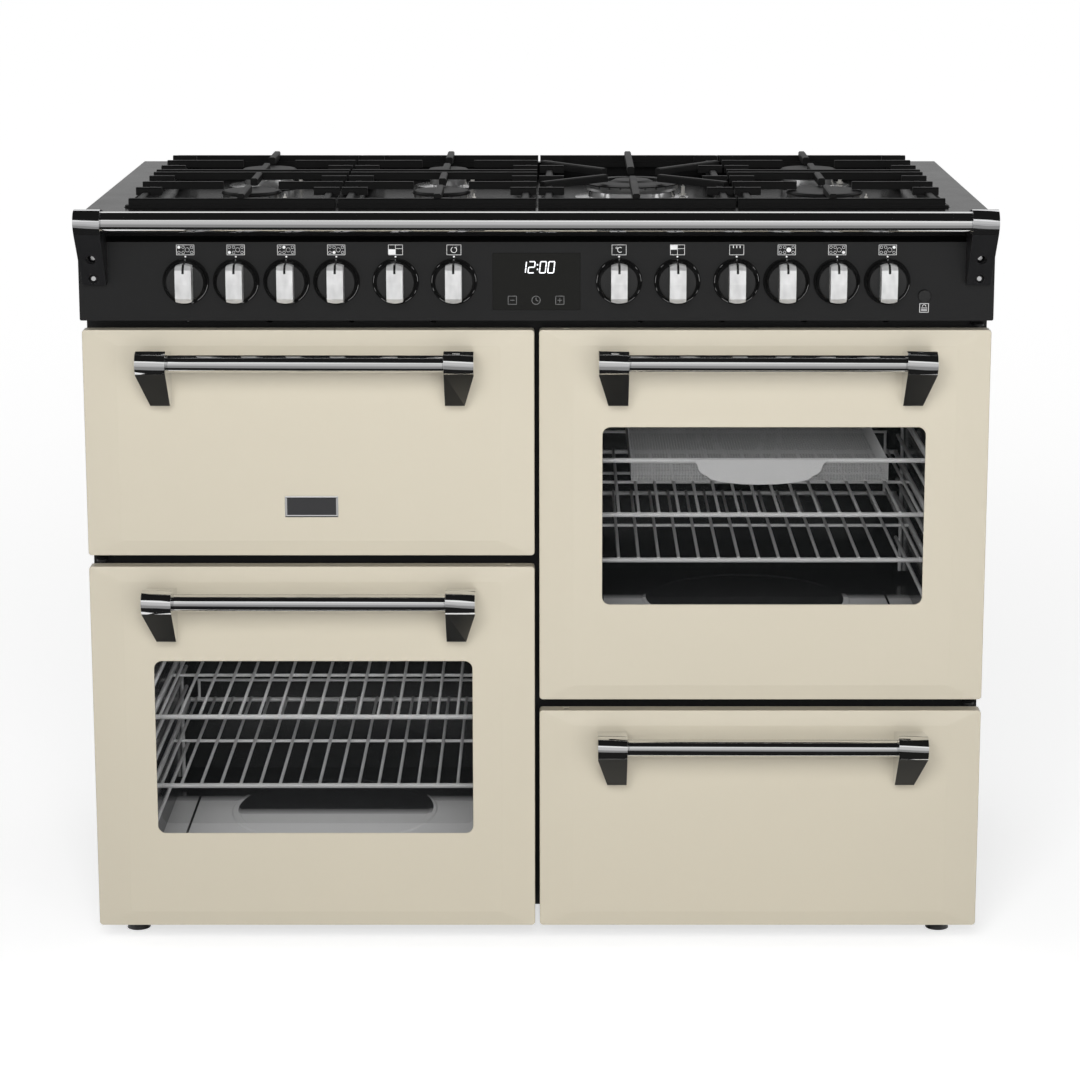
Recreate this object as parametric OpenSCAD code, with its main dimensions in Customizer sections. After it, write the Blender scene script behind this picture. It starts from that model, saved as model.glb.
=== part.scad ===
// Dual fuel range cooker, 1100 mm wide, with four cavities, seven gas burners and twelve knobs.
// Millimetres, +Z up, front facing -Y. The origin lies on the floor under the middle of the whole.
// Depths are counted from the front plane of the doors (0) towards the back and moved once by place().

/* [Overall] */
// Width over the doors, fascia and hob
cooker_w = 1100; // [1000:5:1200]
// Depth from the doors' front plane to the rear edge
cooker_d = 600; // [590:1:640]
// Height of the hob's margin above the floor
hob_z = 925; // [915:1:945]
// Height of the lower doors' bottom edge
door_bottom_z = 28; // [26:0.5:40]
// Height of the upper doors' top edge
door_top_z = 785.9; // [770:0.1:788]

/* [Doors] */
// Height of the grill door and of the storage door
small_door_h = 280.2; // [250:0.1:310]
// Gap between two doors above each other
door_gap_z = 14.1; // [13:0.1:18]
// Gap between the left and the right doors
door_gap_x = 5.8; // [4:0.1:12]
// Sheet thickness of the door pressings
door_skin = 2; // [1.5:0.1:3]
// Depth of the cream return round each door
door_return = 22; // [18:1:26]
// Whole thickness of a door
door_t = 44; // [42:1:46]
// Corner radius of the door faces
door_corner_r = 4; // [2:0.5:8]
// Step from a door's edge back from its raised field
field_rise = 3; // [1:0.5:5]
// Width of the sloping border at the sides
field_side = 41; // [25:1:55]
// Width of the sloping border at the top and bottom
field_end = 19; // [12:1:26]
// Inset of the black inner frame from the door's edge
inner_inset = 8.5; // [8:0.1:9]
// Gap from a door's back to the front frame
door_back_gap = 2; // [1.8:0.1:4]

/* [Windows] */
// Width of the window cut-out
window_w = 393; // [340:1:400]
// Height of the window cut-out
window_h = 222; // [160:1:240]
// Distance from the door's top edge to the window
window_drop = 119.6; // [105:0.1:130]
// Corner radius of the window
window_r = 10; // [4:1:20]
// Thickness of each glass pane
glass_t = 4; // [3:0.5:5]
// How far a pane reaches behind the edge of its cut-out
glass_lap = 12; // [8:1:16]

/* [Handles] */
// Length of a door handle over its end posts
handle_l = 403.5; // [300:0.5:440]
// Diameter of a handle bar
handle_bar_d = 21; // [16:0.5:25]
// Diameter of the round nose of a post
nose_d = 30; // [27:0.5:32]
// Length of the nose along the bar
nose_l = 36; // [28:0.5:40]
// Distance of every bar's axis in front of the doors' plane
bar_reach = 50; // [44:1:60]
// Distance of a bar's axis below its door's top edge
handle_drop = 32; // [30:0.5:50]
// Distance from a bar's axis down to the post's end
post_drop = 57; // [45:0.5:65]
// Thickness of a post's lower end
post_foot_t = 20; // [12:0.5:24]
// Width that the post loses on its outer side
post_taper = 12; // [4:0.5:14]

/* [Fascia and rail] */
// Bottom edge of the fascia
fascia_bottom_z = 799.1; // [798:0.1:805]
// Top edge of the fascia
fascia_top_z = 894.4; // [890:0.1:897]
// Distance of the fascia's face in front of the doors' plane
fascia_reach = 8; // [4:0.5:14]
// Sheet thickness of the fascia
fascia_t = 2; // [1.5:0.1:3]
// Height of the rail's axis
rail_z = 924; // [918:0.5:926]
// Diameter of the rail tube
rail_d = 25; // [20:0.5:26]
// Wall of the rail tube
rail_wall = 1.5; // [1:0.1:3]
// Width of a rail bracket
bracket_w = 31.5; // [26:0.5:36]
// Distance of a bracket's outer side from the fascia's end
bracket_inset = 3.5; // [1:0.5:8]
// Lower end of the rail brackets
bracket_bottom_z = 844; // [840:0.5:856]
// Diameter of the dome bolts
bolt_d = 11; // [8:0.5:13]
// Heights of the two bolts of each bracket
bolt_z = [877, 852];

/* [Knobs] */
// Height of the knobs' axes
knob_z = 847; // [842:0.5:850]
// Places of the knobs across the fascia, from left to right
knob_x = [-421, -360.5, -300, -240, -169, -99, 99, 169, 240, 300, 360.5, 421];
// Knobs that open a gas tap, by their place in the row
gas_knobs = [0, 1, 2, 3, 9, 10, 11];
// Outer diameter of the ring round a knob
bezel_d = 56; // [53:0.5:58]
// Height of that ring
bezel_h = 4; // [2:0.5:7]
// Diameter of the turning disc
knob_d = 50; // [44:0.5:51]
// Height of the turning disc over the fascia
knob_disc_h = 13; // [8:0.5:18]
// Width of the grip bar
grip_w = 19.4; // [14:0.1:24]
// Length of the grip bar
grip_l = 46.5; // [38:0.5:48]
// Height of the grip bar over the fascia
grip_h = 31; // [24:0.5:36]
// Diameter of a knob's spindle
spindle_d = 8; // [6:0.5:9]
// Distance of the light button from the fascia's right end
button_inset = 83.8; // [76:0.1:90]
// Height of the light button
button_z = 829.2; // [820:0.1:835]
// Diameter of the light button
button_d = 14.5; // [10:0.5:16]
// How far the button travels
button_travel = 2.5; // [1:0.5:4]
// Width of the timer glass
timer_w = 105.3; // [90:0.1:120]
// Height of the timer glass
timer_h = 68.9; // [55:0.1:72]
// Height of the timer glass's middle
timer_z = 846.65; // [843:0.05:848]

/* [Cavities] */
// Inner width of every cavity
cavity_w = 440; // [425:1:450]
// Space between the rear walls of the cavities and the back panel
rear_gap = 89.7; // [80:0.1:100]
// The same space behind the right oven, which has a fan chamber
fan_rear_gap = 57.7; // [50:0.1:64]
// Height of an oven's floor above its door's bottom edge
floor_rise = 48; // [44:1:54]
// Distance of a cavity's ceiling below its door's top edge
ceiling_drop = 45; // [42:1:52]
// Sheet thickness of the cavity liners
liner_t = 2; // [1.5:0.1:3]
// Width of the flange round a liner's mouth
liner_flange = 12; // [10:1:16]
// Sheet thickness of the front frame
frame_t = 4; // [3:0.5:5]

/* [Shelves] */
// Wire of the shelf frames
shelf_wire = 6; // [5:0.5:7]
// Wire of the shelf rods
rod_wire = 4; // [3:0.5:5]
// Pitch of the shelf rods
rod_pitch = 25; // [22:0.5:40]
// Distance of a shelf's rear wire from the cavity's rear wall
shelf_rear_gap = 45.3; // [40:0.1:80]
// Distance of a shelf's front wire behind the doors' plane
shelf_front = 70; // [66:1:80]
// Wire of the ladder guides
guide_wire = 5; // [4:0.5:6]
// Heights of the guide wires above the oven floor
guide_rise = [55, 107.5, 137, 165.5, 198, 234.5, 272];
// Guides that carry the left oven's shelves
left_levels = [1, 4];
// Guides that carry the right oven's shelves
right_levels = [1, 3];
// Guide that carries the fry basket
basket_level = 5; // [5:1:6]

/* [Hob] */
// Sheet thickness of the hob pressing
hob_t = 2; // [1.5:0.1:3]
// Height of the hob's front and side lips
hob_lip = 20; // [18:1:24]
// Depth of the well under the margin
well_depth = 18; // [14:0.5:19]
// Margin beside the well
well_side = 44; // [36:1:46]
// Margin in front of the well
well_front = 74; // [66:1:76]
// Margin behind the well
well_rear = 16; // [10:1:20]
// Corner radius of the well
well_r = 8; // [6:0.5:9]
// Distance of the outer burners from the cooker's sides
outer_burner_inset = 187; // [180:1:195]
// Place of the inner burners from the middle
inner_burner_x = 122; // [118:1:126]
// Depth of the front burners behind the doors' plane
front_burner_y = 214; // [205:1:225]
// Distance of the rear burners from the rear edge
rear_burner_inset = 139; // [130:1:150]
// Distance of the wok burner in front of the middle between the rows
wok_shift = 7.5; // [0:0.5:12]
// Diameter of the wok burner
wok_d = 124; // [112:1:128]
// Height of the caps' tops above the hob's margin
cap_rise = 6; // [3:0.5:8]
// Thickness of a cap's rim
cap_t = 5; // [4:0.5:6]

/* [Pan supports] */
// Distance of the outer supports' outer edge from the cooker's sides
support_inset = 50; // [49:0.5:54]
// Inner edge of the outer supports
support_split_x = 245; // [243:0.5:247]
// Gap between neighbouring supports
support_gap = 3; // [2:0.5:6]
// Depth of the front frame bar
support_front_y = 84; // [82:1:90]
// Distance of the rear frame bar from the rear edge
support_rear_inset = 26; // [24:1:35]
// Width of the cast bars
bar_w = 9; // [7:0.5:11]
// Height of the frame's top above the hob's margin
frame_rise = 11; // [8:0.5:13]
// Height of the bars' top above the hob's margin
bar_rise = 16.5; // [14:0.5:20]
// Height of the upper cast bars and fingers
bar_h = 9.5; // [8:0.25:10]
// Height of the frame's cast bars
frame_bar_h = 15.5; // [13:0.5:17]
// Height of the lip under the front and rear bars
lip_h = 7.6; // [5:0.1:9]
// Bevel along a bar's upper edges
bar_bevel = 1.5; // [0.5:0.25:2.5]
// Length of the short stubs at the sides
stub_l = 32; // [24:1:40]
// Open space round a burner between the fingers
finger_gap = 35; // [28:1:42]
// Places of the short stubs before and behind the front and the rear burners
stub_shift = [-62, 64, -63, 60];
// Places of the two full middle bars before and behind the middle between the rows
middle_shift = [-16.5, 11.5];
// How far a support lifts off
lift_travel = 90; // [40:5:120]

/* [Base and feet] */
// Height of the base frame above the floor
base_z = 40; // [36:1:46]
// Height of the base frame's sides
base_h = 24; // [20:1:30]
// Sheet thickness of the base, sides and back
sheet_t = 2; // [1.5:0.1:3]
// Distance of the back panel from the rear edge
back_inset = 10; // [8:0.5:14]
// Diameter of a foot pad
foot_d = 30; // [26:1:44]
// Height of a foot pad
foot_pad_h = 9; // [7:0.5:12]
// Diameter of a foot's stud
stud_d = 10; // [8:0.5:12]
// Distance of the feet from the cooker's sides
foot_inset = 39; // [37:1:60]
// Depth of the front feet
foot_front_y = 74; // [70:1:90]
// Distance of the rear feet from the rear edge
foot_rear = 60; // [45:1:80]
// Diameter of the gas inlet's end
inlet_d = 20.9; // [15:0.1:26]
// Distance of the gas inlet from the cooker's right side
inlet_inset = 50; // [44:1:56]
// Diameter of the cable entry
cable_hole_d = 25; // [20:0.5:32]

/* [Clearances] */
// Gap between pieces that seat on each other
seat = 0.3; // [0.2:0.05:0.4]
// Radial clearance of a turning pin
run = 0.05; // [0.02:0.01:0.09]
// Gap round a piece that moves in a cut-out
play = 0.8; // [0.5:0.1:1]

/* [Hinges] */
// Distance of an upright hinge pin from the door's outer edge
hinge_inset = 12.5; // [12:0.1:13.5]
// Depth of an upright hinge pin behind the doors' plane
hinge_y = 30; // [29:0.5:31]
// Diameter of a hinge pin
hinge_pin_d = 5; // [4:0.5:5.5]
// Depth of the pin in its door
hinge_pin_l = 12; // [8:1:16]
// Thickness of a hinge bracket
hinge_t = 2.5; // [2:0.5:3]
// Height of the grill door's pivot above its edge
grill_pivot_rise = 20; // [18:0.5:22]
// Depth of the grill door's pivot
grill_pivot_y = 24; // [22:0.5:25]

/* [Hidden] */
$fn = 40;

// Overall places
half_w = cooker_w / 2;
front_reach = bar_reach + nose_d / 2;
door_y = front_reach - (cooker_d + front_reach) / 2;
frame_y = door_t + door_back_gap;
liner_y = frame_y + frame_t + seat;
back_y = cooker_d - back_inset;
inlet_x = half_w - inlet_inset;
foot_x = half_w - foot_inset;
button_x = half_w - button_inset;

// Doors: middle and size of each, in pairs above each other
door_w = (cooker_w - door_gap_x) / 2;
door_cx = (half_w + door_gap_x / 2) / 2;
tall_door_h = door_top_z - door_bottom_z - small_door_h - door_gap_z;
grill_z = door_top_z - small_door_h;
right_z = door_top_z - tall_door_h;
inner_y = field_rise + door_skin + seat;
tunnel_y = door_skin + glass_t + 2 * seat;
pane_w = window_w + 2 * glass_lap;
pane_h = window_h + 2 * glass_lap;
pane_lip = 6;
grill_pivot_z = grill_z + grill_pivot_rise;

grill_arm_t = 4;
grill_arm_x = [-half_w + inner_inset + hinge_pin_l + 2,
    -door_gap_x / 2 - inner_inset - hinge_pin_l - 2 - grill_arm_t];
pin_block_w = 14;
pin_block_h = hinge_pin_l + 2;
pin_block_r = 6;

// Fascia and knobs
fascia_y = -fascia_reach;
fascia_cz = (fascia_top_z + fascia_bottom_z) / 2;
fascia_h = fascia_top_z - fascia_bottom_z;
knob_y = fascia_y - seat;
fascia_r = 2;
tap_y = fascia_y + 14;
rail_pipe_d = 16;
rail_pipe_y = frame_y + frame_t + 20;
rail_pipe_z = knob_z - 16;
inlet_l = 22;
inlet_bore_d = inlet_d - 6;
inlet_hole_d = inlet_d + 8;
spindle_l = 30;
pointer_w = 1.8;
bolt_x = half_w - 20;
bolt_shank_d = 6;
bolt_head_h = 5;
bracket_taper = 3;

// Cavities: depths behind the front frame, then middle across, floor and ceiling of each
cavity_d = back_y - rear_gap - liner_y;
fan_cavity_d = back_y - fan_rear_gap - liner_y;
shelf_d = liner_y + cavity_d - shelf_rear_gap - shelf_front;
left_floor = door_bottom_z + floor_rise;
right_floor = right_z + floor_rise;
cavities = [
    [-door_cx, left_floor, door_bottom_z + tall_door_h - ceiling_drop],
    [door_cx, right_floor, door_top_z - ceiling_drop],
    [-door_cx, grill_z + floor_rise, door_top_z - ceiling_drop],
    [door_cx, door_bottom_z + floor_rise, door_bottom_z + small_door_h - ceiling_drop]];
fan_d = 150;
fan_shaft_d = 8;
fan_shaft_l = 18;
fan_gap = 30;
// Guides: wires off the wall, ends and posts off the cavity's mouth and rear wall
guide_in = 7.3;
guide_gap = [24, 62];
guide_post_gap = [40, 78];
guide_post_low = 12;
guide_post_over = 20;
upstand_h = 28;
upstand_inset = 14;
wire_reach = 2;
// Basket: holes of its tray and the shape of its grip plate
basket_wall = 1.5;
basket_hole = [22, 23];
basket_pitch = [27, 29.5];
basket_margin = 14;
grip_plate_t = 2;
grip_shoulder = [[0, 12], [2, 15.5], [6, 17.5], [10, 19.5], [13, 22]];
// Round pressing in the floor of an oven
pressing_r = 140;
pressing_w = 14;
pressing_h = 1.5;
pressing_shift = 40;
motor_d = 90;
motor_gap = 8;
basket_w = 320;
basket_d = 345;
basket_h = 26;
basket_grip_w = 170;
basket_grip_h = 30;
// Fan cover: margins round the plate, spacers and rings of slots
cover_margin = [60, 70];
cover_r = 20;
cover_t = 2;
spacer_d = 10;
spacer_inset = [45, 50];
cover_rings = [34, 56, 78];
cover_slot = 8;
// Fan rotor: hub and blades
hub_d = 22;
hub_h = 14;
blade_angle = 28;
blade_t = 1.5;
fan_rear_play = 5;
// Grill element: rod, hairpins and hangers
element_d = 7;
element_pitch = 46;
element_turns = 7;
element_drop = 22;
element_gap = [60, 90];
hanger_w = 12;
// Grill pan: outline, rim and grips
pan_size = [360, 320];
pan_h = 38;
pan_wall = 2;
pan_rim = 12;
pan_rim_t = 3;
pan_corner_r = 18;
pan_slot = [5, 90];
// Louvres and cable entry of the back panel
louvre_l = 240;
louvre_h = 6;
louvre_pitch = 16;
louvre_z = 600;
louvre_count = 6;
cable_inset = 60;
cable_z = 760;
side_fold = 22;
// Taps, switches and the pipe that joins them
tap_d = 20;
tap_w = 26;
switch_d = 30;
switch_w = 40;
tap_nose = 16;
tap_deep = 30;
tap_head = 14;
rail_end = 24;
clip_x = 205;
clip_w = 16;
clip_h = 8;
vent_d = 9;
vent_pitch = 100;
seal_w = 9;
seal_gap = 1;
electrode_d = 5;
electrode_gap = 5;
electrode_h = 12;
spark_d = 1.6;
spark_h = 5;
wok_finger_gap = -10;
foot_places = [for (sx = [-1, 1], fy = [foot_front_y, cooker_d - foot_rear]) [sx * foot_x, fy]];

// Hob and pan supports
well_z = hob_z - well_depth;
well_w = cooker_w - 2 * well_side;
well_d = cooker_d - well_front - well_rear;
cap_z = hob_z + cap_rise;
support_top = hob_z + bar_rise;
frame_top = hob_z + frame_rise;
outer_burner_x = half_w - outer_burner_inset;
rear_burner_y = cooker_d - rear_burner_inset;
middle_burner_y = (front_burner_y + rear_burner_y) / 2;
wok_burner_y = middle_burner_y - wok_shift;
support_outer_x = half_w - support_inset;
support_rear_y = cooker_d - support_rear_inset;
stub_y = [front_burner_y + stub_shift[0], front_burner_y + stub_shift[1],
    rear_burner_y + stub_shift[2], rear_burner_y + stub_shift[3]];
middle_y = [middle_burner_y + middle_shift[0], middle_burner_y + middle_shift[1]];
support_x = [
    [-support_outer_x, -support_split_x - support_gap / 2],
    [-support_split_x + support_gap / 2, -support_gap / 2],
    [support_gap / 2, support_split_x - support_gap / 2],
    [support_split_x + support_gap / 2, support_outer_x]];
support_cx = [-outer_burner_x, -inner_burner_x, inner_burner_x, outer_burner_x];

// Burners: place across, depth, cap diameter
burners = [
    [-outer_burner_x, front_burner_y, 75],
    [-outer_burner_x, rear_burner_y, 74],
    [-inner_burner_x, front_burner_y, 73],
    [-inner_burner_x, rear_burner_y, 55],
    [outer_burner_x, front_burner_y, 97],
    [outer_burner_x, rear_burner_y, 76]];

// Pieces are drawn with depths from the doors' plane and moved here to the model's origin
module place() {
    translate([0, door_y, 0]) children();
}

// Plain box between two limits on each axis
module box(x, y, z) {
    translate([x[0], y[0], z[0]]) cube([x[1] - x[0], y[1] - y[0], z[1] - z[0]]);
}

// Round rods along the three axes
module rod_x(x, y, z, d) {
    translate([x[0], y, z]) rotate([0, 90, 0]) cylinder(d = d, h = x[1] - x[0]);
}

module rod_y(x, y, z, d) {
    translate([x, y[1], z]) rotate([90, 0, 0]) cylinder(d = d, h = y[1] - y[0]);
}

module rod_z(x, y, z, d) {
    translate([x, y, z[0]]) cylinder(d = d, h = z[1] - z[0]);
}

// Rectangle with round corners, built from true arcs
module rounded(w, h, r) {
    square([w - 2 * r, h], center = true);
    square([w, h - 2 * r], center = true);
    for (sx = [-1, 1], sy = [-1, 1])
        translate([sx * (w / 2 - r), sy * (h / 2 - r)]) circle(r, $fn = 24);
}

// Upright plate: a flat outline raised from depth y to y + t
module plate(cx, cz, y, t) {
    translate([cx, y + t, cz]) rotate([90, 0, 0]) linear_extrude(t) children();
}

// Level plate: a flat outline raised from height z to z + t
module floor_plate(cx, cy, z, t) {
    translate([cx, cy, z]) linear_extrude(t) children();
}

// Outer skin of a door: a pan whose raised field slopes off to the edges
module door_pan(w, h) {
    hull() {
        plate(0, 0, field_rise, door_return - field_rise) rounded(w, h, door_corner_r);
        plate(0, 0, 0, 1) rounded(w - 2 * field_side, h - 2 * field_end, door_corner_r);
    }
}

module door_pocket(w, h) {
    hull() {
        plate(0, 0, field_rise + door_skin, door_return) square([w - 2 * door_skin, h - 2 * door_skin],
            center = true);
        plate(0, 0, door_skin, 1)
            square([w - 2 * field_side, h - 2 * field_end], center = true);
    }
}

module door_panel(cx, z0, h, window = false) {
    top = z0 + h;
    color([0.83, 0.8, 0.72]) place() difference() {
        translate([cx, 0, z0 + h / 2]) door_pan(door_w, h);
        translate([cx, 0, z0 + h / 2]) door_pocket(door_w, h);
        if (window) plate(cx, top - window_drop - window_h / 2, -1, door_return)
            rounded(window_w, window_h, window_r);
        // Latch hole in the top return, at the end away from the hinge
        if (window || h < tall_door_h && z0 == door_bottom_z)
            rod_z(cx - sign(cx) * (door_w / 2 - 33), 13, [top - 2 * door_skin, top + 1], 7);
        // Slots in the lower return for the arms of the grill door's hinges
        if (z0 == grill_z && cx < 0) for (x = grill_arm_x)
            box([x - play, x + grill_arm_t + play], [grill_pivot_y - 12, door_return + 1],
                [z0 - 1, z0 + 2 * door_skin]);
    }
}

// Black inner pan of a door, with the window's tunnel and the hinge bores
module door_inner(cx, z0, h, window = false) {
    drop_down = z0 == grill_z && cx < 0;
    low = z0 + (drop_down ? grill_pivot_rise : inner_inset);
    top = z0 + h;
    high = top - inner_inset;
    x = [cx - door_w / 2 + inner_inset, cx + door_w / 2 - inner_inset];
    wz = top - window_drop - window_h / 2;
    pin_x = sign(cx) * (half_w - hinge_inset);
    color([0.06, 0.06, 0.06]) place() difference() {
        union() {
            difference() {
                box(x, [inner_y, door_t], [low, high]);
                box([x[0] + door_skin, x[1] - door_skin], [inner_y - 1, door_t - door_skin],
                    [low + door_skin, high - door_skin]);
            }
            if (window) plate(cx, wz, tunnel_y, door_t - tunnel_y)
                rounded(window_w + 2 * door_skin, window_h + 2 * door_skin, window_r + door_skin);
            // Blocks round the hinge pins
            if (!drop_down) for (z = [low, high - pin_block_h])
                box(cx < 0 ? [x[0], x[0] + pin_block_w] : [x[1] - pin_block_w, x[1]],
                    [hinge_y - pin_block_r, door_t - 1], [z, z + pin_block_h]);
            if (drop_down) for (bx = [[x[0], grill_arm_x[0] - seat],
                [grill_arm_x[1] + grill_arm_t + seat, x[1]]])
                box(bx, [grill_pivot_y - pin_block_r, grill_pivot_y + pin_block_r],
                    [low - pin_block_r, low + 8]);
        }
        if (window) {
            plate(cx, wz, 0, door_t - door_skin) rounded(window_w, window_h, window_r);
            plate(cx, wz, 0, door_t + 1)
                rounded(window_w - 2 * pane_lip, window_h - 2 * pane_lip, window_r - pane_lip / 2);
        }
        if (!drop_down) for (z = [[low - 1, low + hinge_pin_l + seat],
            [high - hinge_pin_l - seat, high + 1]]) rod_z(pin_x, hinge_y, z, hinge_pin_d + 2 * run);
        if (drop_down) {
            rod_x([x[0] - 1, x[1] + 1], grill_pivot_y, grill_pivot_z, hinge_pin_d + 2 * run);
            for (ax = grill_arm_x)
                box([ax - play, ax + grill_arm_t + play], [inner_y - 1, door_t + 1],
                    [low - 1, low + 10]);
        }
    }
}

// Both panes of a window: the outer one behind the skin, the inner one in the tunnel
module door_glass(cx, z0, h) {
    wz = z0 + h - window_drop - window_h / 2;
    color([0.2, 0.22, 0.22, 0.4]) place() {
        plate(cx, wz, door_skin + seat, glass_t) rounded(pane_w, pane_h, window_r);
        plate(cx, wz, door_t - door_skin - seat - glass_t, glass_t)
            rounded(window_w - 2 * seat, window_h - 2 * seat, window_r - seat);
    }
}

// Point where the line from (px, py) touches a circle of radius r round the origin, on one side
function tangent(px, py, r, side) =
    let (d = sqrt(px * px + py * py), a = atan2(py, px) + side * acos(r / d)) [r * cos(a), r * sin(a)];

// Side view of a post: a round nose and a leg that slopes back to the face behind it.
// The first axis runs out of the face, the second one up; the nose's axis is the origin.
module post_outline(reach, foot_t, drop, r) {
    foot = [-reach + foot_t, -drop];
    heel = [-reach, r * 0.4];
    circle(r, $fn = 48);
    polygon([foot, [-reach, -drop], heel, tangent(heel[0], heel[1], r, -1), [0, 0],
        tangent(foot[0], foot[1], r, 1)]);
}

// Post across the bar from x[0] to x[1]; the side at x[0] is the outer one and tapers by taper
module post(x, reach, foot_t, drop, r, taper) {
    w = abs(x[1] - x[0]);
    out = x[0] < x[1] ? 1 : -1;
    difference() {
        translate([min(x[0], x[1]), 0, 0]) rotate([90, 0, 90])
            mirror([1, 0, 0]) linear_extrude(w) post_outline(reach, foot_t, drop, r);
        translate([x[0], 0, 0]) mirror([out < 0 ? 1 : 0, 0, 0]) rotate([90, 0, 0])
            translate([0, 0, -reach - r - 1]) linear_extrude(2 * (reach + r + 1))
                polygon([[-1, -r * 0.9], [0, -r * 0.9], [taper, -drop], [taper, -drop - 1],
                    [-1, -drop - 1]]);
    }
}

// Door handle: bar between two posts, with the bar's ends seated inside the noses
module door_handle(cx, z0, h) {
    z = z0 + h - handle_drop;
    half_l = handle_l / 2;
    socket = nose_l * 0.6;
    color("silver") place() translate([cx, -bar_reach, z]) {
        rod_x([-half_l + socket + seat, half_l - socket - seat], 0, 0, handle_bar_d);
        for (s = [-1, 1]) difference() {
            post([s * half_l, s * (half_l - nose_l)], bar_reach - seat, post_foot_t, post_drop,
                nose_d / 2, post_taper);
            rod_x(s < 0 ? [-half_l + socket, -half_l + nose_l + 1]
                : [half_l - nose_l - 1, half_l - socket], 0, 0, handle_bar_d + 2 * run);
        }
    }
}

module grill_door_panel() { door_panel(-door_cx, grill_z, small_door_h); }
module grill_door_inner() { door_inner(-door_cx, grill_z, small_door_h); }
module grill_door_handle() { door_handle(-door_cx, grill_z, small_door_h); }
module left_oven_door_panel() { door_panel(-door_cx, door_bottom_z, tall_door_h, true); }
module left_oven_door_glass() { door_glass(-door_cx, door_bottom_z, tall_door_h); }
module left_oven_door_inner() { door_inner(-door_cx, door_bottom_z, tall_door_h, true); }
module left_oven_door_handle() { door_handle(-door_cx, door_bottom_z, tall_door_h); }
module right_oven_door_panel() { door_panel(door_cx, right_z, tall_door_h, true); }
module right_oven_door_glass() { door_glass(door_cx, right_z, tall_door_h); }
module right_oven_door_inner() { door_inner(door_cx, right_z, tall_door_h, true); }
module right_oven_door_handle() { door_handle(door_cx, right_z, tall_door_h); }
module storage_door_panel() { door_panel(door_cx, door_bottom_z, small_door_h); }
module storage_door_inner() { door_inner(door_cx, door_bottom_z, small_door_h); }
module storage_door_handle() { door_handle(door_cx, door_bottom_z, small_door_h); }

// Fascia: a folded channel, open at the back, with holes for the spindles, button and timer
module fascia() {
    color([0.2, 0.2, 0.2]) place() difference() {
        plate(0, fascia_cz, fascia_y, frame_y - seat - fascia_y)
            rounded(cooker_w, fascia_h, fascia_r);
        box([-half_w + fascia_t, half_w - fascia_t], [fascia_y + fascia_t, frame_y + 1],
            [fascia_bottom_z + fascia_t, fascia_top_z - fascia_t]);
        for (x = knob_x) rod_y(x, [fascia_y - 1, fascia_y + fascia_t + 1], knob_z, spindle_d + 4);
        rod_y(button_x, [fascia_y - 1, fascia_y + fascia_t + 1], button_z, button_d + 2 * play);
        for (sx = [-1, 1], z = bolt_z)
            rod_y(sx * bolt_x, [fascia_y - 1, fascia_y + fascia_t + 1], z, bolt_shank_d + 2 * run);
        box([-timer_w / 2 - seat, timer_w / 2 + seat], [fascia_y - 1, fascia_y + fascia_t + 1],
            [timer_z - timer_h / 2 - seat, timer_z + timer_h / 2 + seat]);
    }
}

// Timer glass, flush in the fascia, with its display board behind it
module timer_glass() {
    color([0.05, 0.05, 0.05]) place() {
        box([-timer_w / 2, timer_w / 2], [fascia_y - seat, fascia_y + fascia_t],
            [timer_z - timer_h / 2, timer_z + timer_h / 2]);
        box([-timer_w / 2 - 5, timer_w / 2 + 5], [fascia_y + fascia_t + seat, fascia_y + 18],
            [timer_z - timer_h / 2 - 3, timer_z + timer_h / 2 + 3]);
    }
}

// Ring round every knob, with a stepped inner edge
module knob_bezels() {
    color([0.08, 0.08, 0.08]) place() for (x = knob_x) translate([x, knob_y, knob_z])
        rotate([90, 0, 0]) rotate_extrude($fn = 48)
            polygon([[knob_d / 2 + play, 0], [bezel_d / 2, 0], [bezel_d / 2, bezel_h * 0.6],
                [bezel_d / 2 - 1, bezel_h], [knob_d / 2 + play, bezel_h * 0.8]]);
}

// Knob: domed disc, grip bar with round ends and a pointer groove, and the spindle behind
module knob(i) {
    color("silver") place() translate([knob_x[i], knob_y, knob_z]) rotate([90, 0, 0]) {
        difference() {
            union() {
                rotate_extrude($fn = 48) polygon([[0, 1], [knob_d / 2, 1], [knob_d / 2, knob_disc_h * 0.6],
                    [knob_d / 2 - 3, knob_disc_h], [0, knob_disc_h + 1]]);
                intersection() {
                    translate([-grip_w / 2, -grip_l / 2, 2]) cube([grip_w, grip_l, grip_h - 2]);
                    translate([-grip_w, 0, 0]) rotate([90, 0, 90]) linear_extrude(2 * grip_w)
                        polygon([[-grip_l / 2, 0], [grip_l / 2, 0], [grip_l / 2, grip_h - 7],
                            [grip_l / 2 - 6, grip_h - 1], [0, grip_h], [6 - grip_l / 2, grip_h - 1],
                            [-grip_l / 2, grip_h - 7]]);
                    cylinder(d = grip_l, h = grip_h, $fn = 64);
                }
            }
            translate([-pointer_w / 2, grip_l / 2 - 9, grip_h - 2]) cube([pointer_w, 10, 3]);
        }
        translate([0, 0, -spindle_l]) cylinder(d = spindle_d, h = spindle_l + 2);
    }
}

// Light button: a cap with a collar behind the fascia and its plunger
module button() {
    color([0.1, 0.1, 0.1]) place() translate([button_x, fascia_y, button_z]) rotate([90, 0, 0]) {
        translate([0, 0, -fascia_t - seat - 6]) cylinder(d = button_d, h = fascia_t + seat + 6
            + button_travel + 0.5);
        translate([0, 0, -fascia_t - seat - 2]) cylinder(d = button_d + 5, h = 2);
    }
}

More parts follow.
